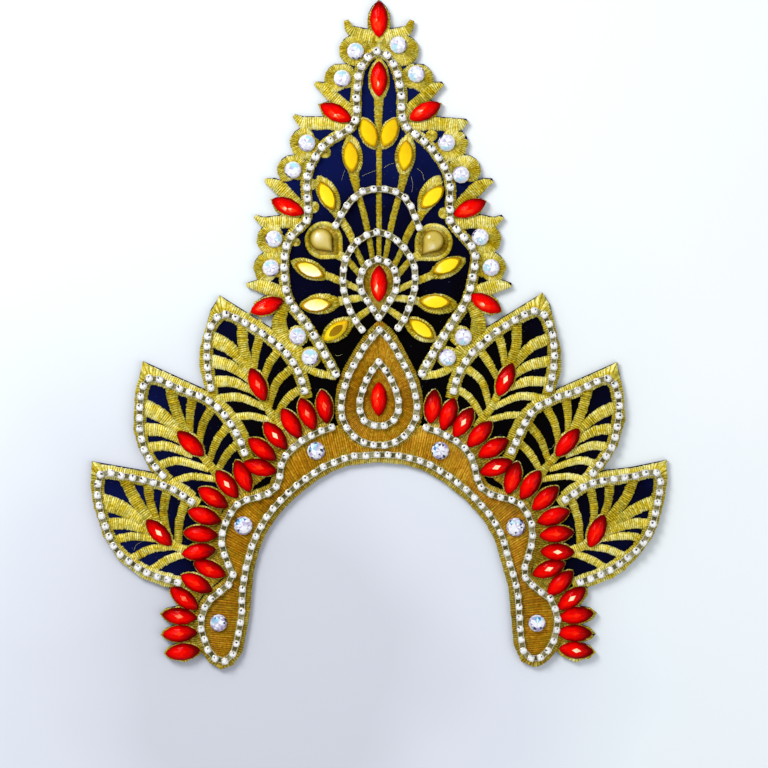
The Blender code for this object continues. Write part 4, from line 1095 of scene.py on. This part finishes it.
def make_embroidery():
    """All the stitches. What lies in front cuts off what lies behind it."""
    fan_trims = {}
    for side in SIDES:
        in_front = [shrunk(navette(*row, *ROW_PETAL, 16)) for row in ROW[side]]
        in_front += [shrunk(band_outline(side), 1.0), shrunk(polygon_of(edges_of(moved(ROW_STRIP, side))))]
        for leaf in reversed(LEAVES):
            make_leaf(leaf, side, in_front)
            in_front = [*in_front, shrunk(leaf_outline(leaf, side))]
        plaque = shrunk(PLAQUE_EDGE * (side, 1))
        make_border(side, [plaque, in_front[-1]])
        make_row(side, [plaque, band_outline(side)])
        make_band(side, [plaque])
        fan_trims[side] = [plaque, polygon_of(strip(moved(EDGE_CHAIN, side), STRIP_WIDE))]
    make_fan(fan_trims)
    make_plaque()
    crest = Heap()
    lobe(crest, *CREST_FILL, rise=-0.3)
    petal(crest, 0, MIDDLE_REDS[0][4], 90, *MIDDLE_REDS[0][5:])
    crest.made("crest_petal_satin", GOLD, "crest_petal")


# Loose ends of thread that lie on the velvet and stand for no node: x, y over both halves
WISPS = strips_of("""
    2.5 83.2, 5 84.8, 7.6 85.6
    -8.6 79, -5 80.6, -1.6 81.8
    -18.8 77, -18 79.6, -17 82
    19 83, 21.6 80.6, 22.6 77
    16.4 71, 16.9 75, 16 79
    -22 -10.4, -20.4 -10.9, -18.4 -10
    -122.6 -108.4, -121.8 -106, -119.2 -104
    84 -58, 86.5 -57, 88 -54.6
""")
WISP_RADIUS = 0.04
WISP_NOTE = (0.9, 1, 0.5)


def make_wisps():
    """Thin loose ends that rise a little off the velvet."""
    heap = Heap()
    for route in WISPS:
        line = smooth(route, 0.6)
        out = normals_of(line) * WISP_RADIUS
        height = CLOTH_TOP + 0.1 + 0.5 * np.sin(np.linspace(0, pi, len(line)))
        rings = [raised(line - out * cos(way), height + WISP_RADIUS * sin(way)) for way in steps_round(4)]
        heap.add(np.stack(rings, 1).reshape(-1, 3), grid_faces(len(line), 4, closed=True), WISP_NOTE)
    heap.made("loose_threads", GOLD)


# Chains

CUP_SIDES = 12
CUP_CORNERS = 0.05
# The cup of one link: radius and height over the strip, and the tint of each of its rings, painted darker low
# down for shade and the gold reflected there
CUP = ((1.1, -0.25), (1.7, 0.0), (1.82, 1.2), (1.88, 1.75), (1.6, 1.85))
CUP_SHADE_TINTS = (0.1, 0.2, 0.4, 0.8, 0.65)
# The stone of one link: radius and height
LINK_STONE = ((1.66, 1.7), (1.62, 2.0), (1.05, 2.4))
LINK_STONE_SIDES = 8
STONE_CORNERS = 0.03
# A claw: radius and height. Where it stands: how far out and how high
CLAW = ((0.3, 0.0), (0.24, 0.35), (0.02, 0.5))
CLAW_SIDES = 6
CLAW_AT = (1.78, 1.85)
# How far a link may lie from its place
LINK_LOOSE = 0.12
# What joins two cups, two wires and a web: place across, height and tint, with 0 for the web's own
JOINT = rows_of("""
    -1.46 0.3 0.3, -1.44 0.9 0.85, -1.22 0.9 0.85, -1.18 0.35 0.3, -0.9 0.3 0, 0.9 0.3 0,
    1.18 0.35 0.3, 1.22 0.9 0.85, 1.44 0.9 0.85, 1.46 0.3 0.3
""")
# Tints of the web, painted dark olive for the shade and the gold that show between the cups
WEB_SHADE_TINTS = (0.02, 0.1, 0.22, 0.4)


def turned(profile, sides, turn=0.0):
    """Rings of points, round by round, for a list of radius and height."""
    angles = steps_round(sides) + turn
    return np.concatenate([raised(on_circle(0, 0, radius, angles), height) for radius, height in profile])


def placed(points, x, y, turn, z, tilt=(0.0, 0.0)):
    """Points turned about +Z, leaned a little, and moved to their place."""
    c, s = cos(turn), sin(turn)
    u, v = points[:, 0] * c - points[:, 1] * s, points[:, 0] * s + points[:, 1] * c
    return np.column_stack([u, v, points[:, 2] + (u * tilt[0] + v * tilt[1])]) + (x, y, z)


def split_faces(points, faces, tints):
    """Points and faces with no shared points, so that each face has its own tint or tints of its corners."""
    made, quads, notes = [], [], []
    for face, tint in zip(faces, tints):
        quads.append(list(range(len(made), len(made) + len(face))))
        made += [points[k] for k in face]
        notes += [(own, 0, 0) for own in np.broadcast_to(tint, len(face))]
    return np.array(made), quads, np.array(notes)


def set_stone(heap, points, faces, tints, x, y, turn, z, lean):
    """Adds a stone with a tint or tints for each facet, leaned a little by chance."""
    split, quads, notes = split_faces(points, faces, tints)
    tilt = chance.gauss(0, lean), chance.gauss(0, lean)
    heap.add(placed(split, x, y, turn, z, tilt), quads, notes)


def ring_facets(count, base, shift=False):
    """Faces between a ring of points and the next: triangles if the next is turned by half a step."""
    faces = []
    for k in range(count):
        low, low_after = base + k, base + (k + 1) % count
        high, high_after = low + count, low_after + count
        if shift:
            faces += [(low, low_after, high), (low_after, high_after, high)]
        else:
            faces.append((low, low_after, high_after, high))
    return faces


def top_facets(count, base):
    """Triangles from a ring of points up to the point that follows it."""
    return [(base + k, base + (k + 1) % count, base + count) for k in range(count)]


def peaked(rings, profile):
    """Rings of points with one more point just over the last of their profile."""
    return np.concatenate([rings, [(0, 0, profile[-1][1] + 0.05)]])


def near(angle, other, within):
    """How near two directions are, from 0 at that angle or beyond to 1."""
    gap = abs((angle - other + pi) % (2 * pi) - pi)
    return max(0.0, 1 - gap / within)


def facing(points, face, turn, way, within):
    """How near to a way a facet looks, seen from above, once its stone is turned."""
    middle = np.mean([points[k] for k in face], 0)
    return near(atan2(middle[1], middle[0]) + turn, way, within)


def squared(points, corners):
    """Points moved in or out, so that a round becomes a square with soft corners."""
    bulge = 1 - corners * np.cos(4 * np.arctan2(points[:, 1], points[:, 0]))
    return points * np.column_stack([bulge, bulge, np.ones(len(points))])


def link(cups, stones, x, y, turn, size):
    """One cup with its claws and clear stone, whose facets towards one side are painted darker, with a
    painted dark reflection on top there.
    """
    cup = squared(turned(CUP, CUP_SIDES, pi / CUP_SIDES), CUP_CORNERS) * (size, size, 1)
    uneven = np.random.default_rng(chance.randrange(1 << 30)).uniform(-0.35, 0.1, CUP_SIDES)
    notes = [(tint + by, 0, 0) for tint in CUP_SHADE_TINTS for by in uneven]
    cups.add(placed(cup, x, y, turn, TRIM_LOW), grid_faces(len(CUP), CUP_SIDES, closed=True), notes)
    far, high = CLAW_AT
    for at in on_circle(x, y, size * far, turn + pi / 4 + steps_round(4)):
        claw = turned(CLAW, CLAW_SIDES) + (*at, TRIM_LOW + high)
        cups.add(claw, grid_faces(len(CLAW), CLAW_SIDES, closed=True), (1.0, 0, 0))
    sides = LINK_STONE_SIDES
    points = peaked(squared(turned(LINK_STONE, sides), STONE_CORNERS), LINK_STONE)
    girdle, slopes, top = ring_facets(sides, 0), ring_facets(sides, sides), top_facets(sides, 2 * sides)
    turn += chance.gauss(0, 0.2)
    # Painted shade and reflection: facets towards this way are darker, and a top facet there is mostly
    # painted black
    dark = radians(90) + chance.gauss(0, 0.6)
    tints = [chance.choice((0.25, 0.5, 0.8, 0.9)) for _ in girdle]
    for face in slopes:
        tints.append(chance.choice((0.5, 0.8, 1.0, 1.0)) - 0.5 * facing(points, face, turn, dark, 0.9))
    for face in top:
        hit = facing(points, face, turn, dark, 0.45) > 0
        tints.append(0.0 if hit and chance.random() < 0.85 else chance.choice((0.7, 0.95, 1.0, 1.0)))
    set_stone(stones, points * (size, size, 1), girdle + slopes + top, tints, x, y, turn, TRIM_LOW, 0.04)


def joint(cups, a, b):
    """The two wires and the web that join two cups, the web painted dark olive for the shade and gold that
    show between them.
    """
    line = np.array([a, b])
    out = normals_of(line)[0]
    own = chance.choice(WEB_SHADE_TINTS)
    points = [(*(point - out * place), TRIM_LOW + height) for point in line for place, height, _ in JOINT]
    notes = [(tint or own, 0, 0) for _, _, tint in JOINT] * 2
    cups.add(np.array(points), grid_faces(2, len(JOINT)), notes)


def chain(name, route, closed=False, size=1.0):
    """A rhinestone chain along a route, in place of the plain tube."""
    line = smooth(route, LINK_PITCH)
    cups, stones = Heap(), Heap()
    for (x, y), (dx, dy) in zip(line[:-1] if closed else line, np.gradient(line, axis=0)):
        place = x + chance.gauss(0, LINK_LOOSE), y + chance.gauss(0, LINK_LOOSE)
        link(cups, stones, *place, atan2(dy, dx), size)
    for a, b in zip(line, line[1:]):
        joint(cups, a, b)
    cups.made(f"{name}_cups", SILVER, name)
    stones.made(f"{name}_stones", CLEAR, name)


def make_chains():
    chain("edge_chain", across(EDGE_CHAIN), size=1.12)
    chain("outer_arc_chain", across(OUTER_ARC))
    chain("middle_arc_chain", across(MIDDLE_ARC))
    chain("ring_chain", around(RING[::-1]), closed=True)
    chain("plaque_outer_chain", around(PLAQUE_OUTER), closed=True)
    chain("plaque_inner_chain", around(PLAQUE_INNER), closed=True)
    chain("arch_chain", across(ARCH_CHAIN))
    for leaf, row in LEAVES.items():
        for side, name in SIDES.items():
            route = [(side * x, y) for x, y in moved(row["chain"], side)]
            chain(f"leaf_{leaf}_chain_{name}", route, size=1.06)


# Stones

STONE_LOW = TRIM_LOW - 0.25
# Levels of a cut navette: share of its outline, height, and tint on its painted shaded side and on its
# painted lit side.
# The first has a small diamond on top, the second a wide table, and the third a smaller one
NAVETTE_LEVELS = rows_of("""
    1 0 0.02 0.15, 1.02 0.9 0.05 0.25, 0.95 1.3 0.1 0.48, 0.64 2.6 0.36 0.76, 0.27 3.2 0.58 0.82
""")
TABLE_LEVELS = rows_of("""
    1 0 0 0.1, 1 0.9 0.1 0.2, 0.96 1.3 0.34 0.44, 0.88 2 0.42 0.55, 0.78 2.5 0.5 0.65
""")
DARK_LEVELS = rows_of("""
    1 0 0.1 0.2, 1 0.9 0.3 0.4, 0.95 1.3 0.6 0.7, 0.72 2.1 0.7 0.84, 0.56 2.5 0.6 0.8
""")
NAVETTE_SIDES = 12
# How much brighter a wide table is on its lit side
TABLE_FALL = 0.07
# Where the light comes from, seen from above
LIT_FROM = radians(215)
# The tables of the yellow stones, the palest of them painted reflections, and how much brighter than the
# levels say their slopes are
YELLOW_TABLES_AND_REFLECTIONS = {-1: (0.68, 0.68, 0.82, 0.95, 0.95, 0.26), 1: (0.67, 0.68, 0.82, 0.85, 0.85, 0.83)}
YELLOW_LIFTS = (0.12, 0.08, -0.04, -0.04, -0.02, -0.04)
# A yellow stone with a table darker than this has the third levels
DARK_TABLE = 0.5
# How bright the tables of the red stones may be, the brightest of them painted glints, and the table and lift
# of those that the border and fan have
RED_TABLES_AND_GLINTS = (0.78, 0.8, 0.83, 0.88, 0.94, 1.0)
CREST_LOOKS = (0.8, 0.14)
ROUND_SIDES = 12
# Each drop, painted darker towards its rim: its brightest tint, how much its spot adds (a painted highlight
# on the left, a greenish patch on the right), how wide it is, and where it is from the middle
DROP_LOOKS = {-1: (0.6, 0.25, 6, (1.5, 1.0)), 1: (0.5, 0.5, 2.5, (-0.7, -3.2))}
DROP_LEVELS = 8


def diamond(length, width, sides):
    """Points on the sides of a diamond, one for each step round it."""
    angles = steps_round(sides)
    far = 1 / (np.abs(np.cos(angles)) / (length / 2) + np.abs(np.sin(angles)) / (width / 2))
    return on_circle(0, 0, far, angles)


def cut_stone(heap, x, y, turn, length, width, table, lift=0.0, levels=NAVETTE_LEVELS):
    """A pointed oval stone: a rim in painted shade, rounds of facets painted lighter towards the light, and a
    table whose tint is given.
    """
    n, tabled = NAVETTE_SIDES, levels is not NAVETTE_LEVELS
    rings, shades = [], []
    lit_from = LIT_FROM + chance.gauss(0, 0.4)
    for level, (share, height, dull, bright) in enumerate(levels):
        size = length * share, width * share
        flat = navette(0, 0, 0, *size, n) if tabled or level < len(levels) - 1 else diamond(*size, n)
        rings.append(raised(flat, height))
        looks = np.arctan2(flat[:, 1] * length / width, flat[:, 0]) + radians(turn)
        looks = looks if heap.side > 0 else pi - looks
        # Painted light and shade: each facet is lighter the nearer it looks towards the light
        shades.append(lift + dull + (bright - dull) * (0.5 + 0.5 * np.cos(looks - lit_from)))
    points, shades = np.concatenate(rings), np.concatenate(shades)
    faces = [face for level in range(len(rings) - 1) for face in ring_facets(n, level * n)]
    tints = [shades[list(face)] + chance.uniform(-0.06, 0.06) for face in faces]
    faces.append(tuple(range(len(points) - n, len(points))))
    tints.append(table + tabled * TABLE_FALL * np.cos(looks - lit_from))
    set_stone(heap, points, faces, tints, x, y, radians(turn), STONE_LOW, 0.025)


def round_stone(heap, x, y, radius, colour_from, bold=False):
    """A round stone: white facets, a blue and green patch to one side, and dark specks of painted shade on
    the rim away from it.
    """
    n, shoulder = ROUND_SIDES, (radius * 0.82, 2.0)
    profile = ((radius, 0.0), (radius, 0.9), shoulder, (radius * 0.5, 2.7))
    points = peaked(turned(profile, n), profile)
    points[2 * n:3 * n] = turned([shoulder], n, pi / n)
    sides, slopes, top = ring_facets(n, 0), ring_facets(n, n, True), top_facets(n, 3 * n)
    shoulders = []
    for k in range(n):
        low, high, after = 2 * n + k, 3 * n + k, (k + 1) % n
        shoulders += [(low, 3 * n + after, high), (low, 2 * n + after, 3 * n + after)]
    turn = chance.random() * pi
    colour_from += chance.gauss(0, 0.4)
    shade_from = colour_from + pi + chance.gauss(0, 0.6)
    tints = [0.1] * len(sides)
    # Painted shade: the slopes on the side away from the patch are mostly painted dark
    for face in slopes:
        shade = max(facing(points, face, turn, shade_from, 1.3), 0.5 * bold)
        tints.append(chance.choice((0.02, 0.42, 0.5) if chance.random() < shade else (0.62, 0.8, 0.95)))
    patch = (0.14, 0.2, 0.28) if bold else (0.28, 0.3, 0.34)
    plain = (0.02, 0.42, 0.5, 0.62, 0.9, 1.0) if bold else (0.56, 0.62, 0.7, 0.9, 1.0)
    for face in shoulders:
        hue = facing(points, face, turn, colour_from, 1.3)
        tints.append(chance.choice(patch if chance.random() < 1.3 * hue else plain))
    for face in top:
        hit = chance.random() < 0.6 * facing(points, face, turn, colour_from, 1.0)
        tints.append((0.24 if bold else 0.3) if hit else chance.choice((0.5, 0.62, 0.9, 1.0, 1.0)))
    set_stone(heap, points, sides + slopes + shoulders + top, tints, x, y, turn, STONE_LOW, 0.03)


def drop(heap, side):
    """The domed champagne drop, painted darker towards its rim: paler with a painted highlight on the left,
    olive with a greenish spot on the right.
    """
    most, more, spread, spot = DROP_LOOKS[side]
    middle = np.array(DROP_STONE[side][:2])
    ring = teardrop(*DROP_STONE[side], 40) - middle
    angles = [k / DROP_LEVELS * pi / 2 for k in range(DROP_LEVELS + 1)]
    rings = [raised(middle + ring * max(cos(angle), 0.02), 0.8 + 2.8 * sin(angle)) for angle in angles]
    rings.insert(0, rings[0] * (1, 1, 0))
    points = np.concatenate(rings) + (0, 0, STONE_LOW)
    # Painted shade: the tints rise from the rim to the top of the dome, and the spot adds to them
    tints = np.repeat(np.minimum(np.linspace(-0.15, 1.0, len(rings)), most), len(ring))
    tints += more * np.exp(-((points[:, :2] - (middle + spot)) ** 2).sum(1) / spread)
    heap.add(points, grid_faces(len(rings), len(ring), closed=True), np.outer(tints, (1, 0, 0)))


def sewn(name, finish, old, side, cut, stones):
    """One piece of stones: the function cuts each of them from its row."""
    heap = Heap(side)
    for row in stones:
        cut(heap, *row)
    heap.made(name, finish, old)


def make_stones():
    """All the sewn stones."""
    for name, y, length, width, *_ in (*MIDDLE_REDS, PLAQUE_RED):
        sewn(f"{name}_red_cut", RED, f"{name}_red", 1, cut_stone, [(0, y, 90, length, width, *CREST_LOOKS)])
    for side, name in SIDES.items():
        for leaf, row in LEAVES.items():
            stone = (*row["stone"][side], *LEAF_STONE, chance.choice(RED_TABLES_AND_GLINTS))
            sewn(f"leaf_{leaf}_red_cut_{name}", RED, f"leaf_{leaf}_red_{name}", side, cut_stone, [stone])
        for number, (row, size) in enumerate(zip(FAN_YELLOW[side], YELLOW_STONES)):
            table, lift = YELLOW_TABLES_AND_REFLECTIONS[side][number], YELLOW_LIFTS[number]
            stone = (*row, *size, table, lift, DARK_LEVELS if table < DARK_TABLE else TABLE_LEVELS)
            old = f"fan_yellow_{number + 1}_{name}"
            sewn(f"{old}_cut", YELLOW, old, side, cut_stone, [stone])
        row, border = f"red_row_{name}", f"border_{name}"
        reds = ((*stone, *ROW_STONE, chance.choice(RED_TABLES_AND_GLINTS)) for stone in ROW[side])
        sewn(f"{row}_cut", RED, row, side, cut_stone, reds)
        reds = ((*stone, *EDGE_STONE, *CREST_LOOKS) for stone in EDGE_REDS[side])
        sewn(f"{border}_reds", RED, border, side, cut_stone, reds)
        rounds = ((*place, ROUND_STONE, radians(-110 * side)) for place in LOBE_ROUNDS[side])
        sewn(f"{border}_rounds", PEARL, border, side, round_stone, rounds)
        for number, stone in enumerate(BAND_ROUNDS[side], 1):
            old = f"band_round_{number}_{name}"
            bold = (*stone, radians(130 if side > 0 else 50), True)
            sewn(f"{old}_cut", PEARL, old, side, round_stone, [bold])
        sewn(f"fan_drop_{name}_dome", CHAMPAGNE, f"fan_drop_{name}", side, drop, [(side,)])


# Stage: floor, lights and camera

# The camera sees this much, in metres, at the height of the embroidery
VIEW_SIZE = 0.384
VIEW_PLANE = 0.0045
VIEW_CENTRE = (0.0025, -0.025)
LENS = 135.0
SENSOR = 36.0
FLOOR_SIZE = 60.0
# Just under the crown's back face, so that the two don't share a plane
FLOOR_HEIGHT = -0.0002
# Painted shade on the floor: it is darker round this place, under the arch and to the lower left, in metres
SHADED_FLOOR = (-0.06, -0.17, 0.0)
FLOOR_STOPS = "0.15 0.66 0.68 0.75, 0.75 0.94 0.975 0.99, 0.28 0.76 0.79 0.87, 0.5 0.88 0.945 0.97"
LIT_SPOT = (0, -0.02, 0)


def make_floor():
    material, tree, principled = shader("pale_floor", {"Roughness": 0.8})
    away = weighed(tree, -0.1, (distance_from(tree, SHADED_FLOOR), 2.5), (noise(tree, 9.0), 0.2))
    colour = ramp(tree, away, FLOOR_STOPS)
    tree.links.new(colour, principled.inputs["Base Color"])
    mesh = bpy.data.meshes.new("floor")
    far = FLOOR_SIZE / 2
    mesh.from_pydata([(-far, -far, 0), (far, -far, 0), (far, far, 0), (-far, far, 0)], [], [(0, 1, 2, 3)])
    mesh.materials.append(material)
    floor = in_scene("floor", mesh)
    floor.location.z = FLOOR_HEIGHT


def light(name, place, size, power):
    """A square soft light that faces the crown."""
    data = bpy.data.lights.new(name, "AREA")
    data.size = size
    data.energy = power
    lamp = in_scene(name, data)
    lamp.location = place
    lamp.rotation_euler = (Vector(LIT_SPOT) - Vector(place)).to_track_quat("-Z", "Y").to_euler()


def make_lights():
    world = bpy.data.worlds.new("soft_studio")
    world.use_nodes = True
    background = world.node_tree.nodes["Background"]
    background.inputs["Color"].default_value = (0.92, 0.95, 1.0, 1)
    background.inputs["Strength"].default_value = 0.5
    bpy.context.scene.world = world
    bpy.context.scene.view_settings.view_transform = "Standard"
    light("key", (-0.5, 0.55, 0.9), 0.45, 8.5)
    light("fill", (0.7, -0.3, 0.9), 0.8, 2.5)


def make_camera():
    data = bpy.data.cameras.new("camera")
    data.lens = LENS
    data.sensor_width = SENSOR
    camera = in_scene("camera", data)
    camera.location = (*VIEW_CENTRE, VIEW_PLANE + VIEW_SIZE * LENS / SENSOR)
    bpy.context.scene.camera = camera


make_camera()
make_cloth()
make_embroidery()
make_wisps()
make_chains()
make_stones()
make_floor()
make_lights()
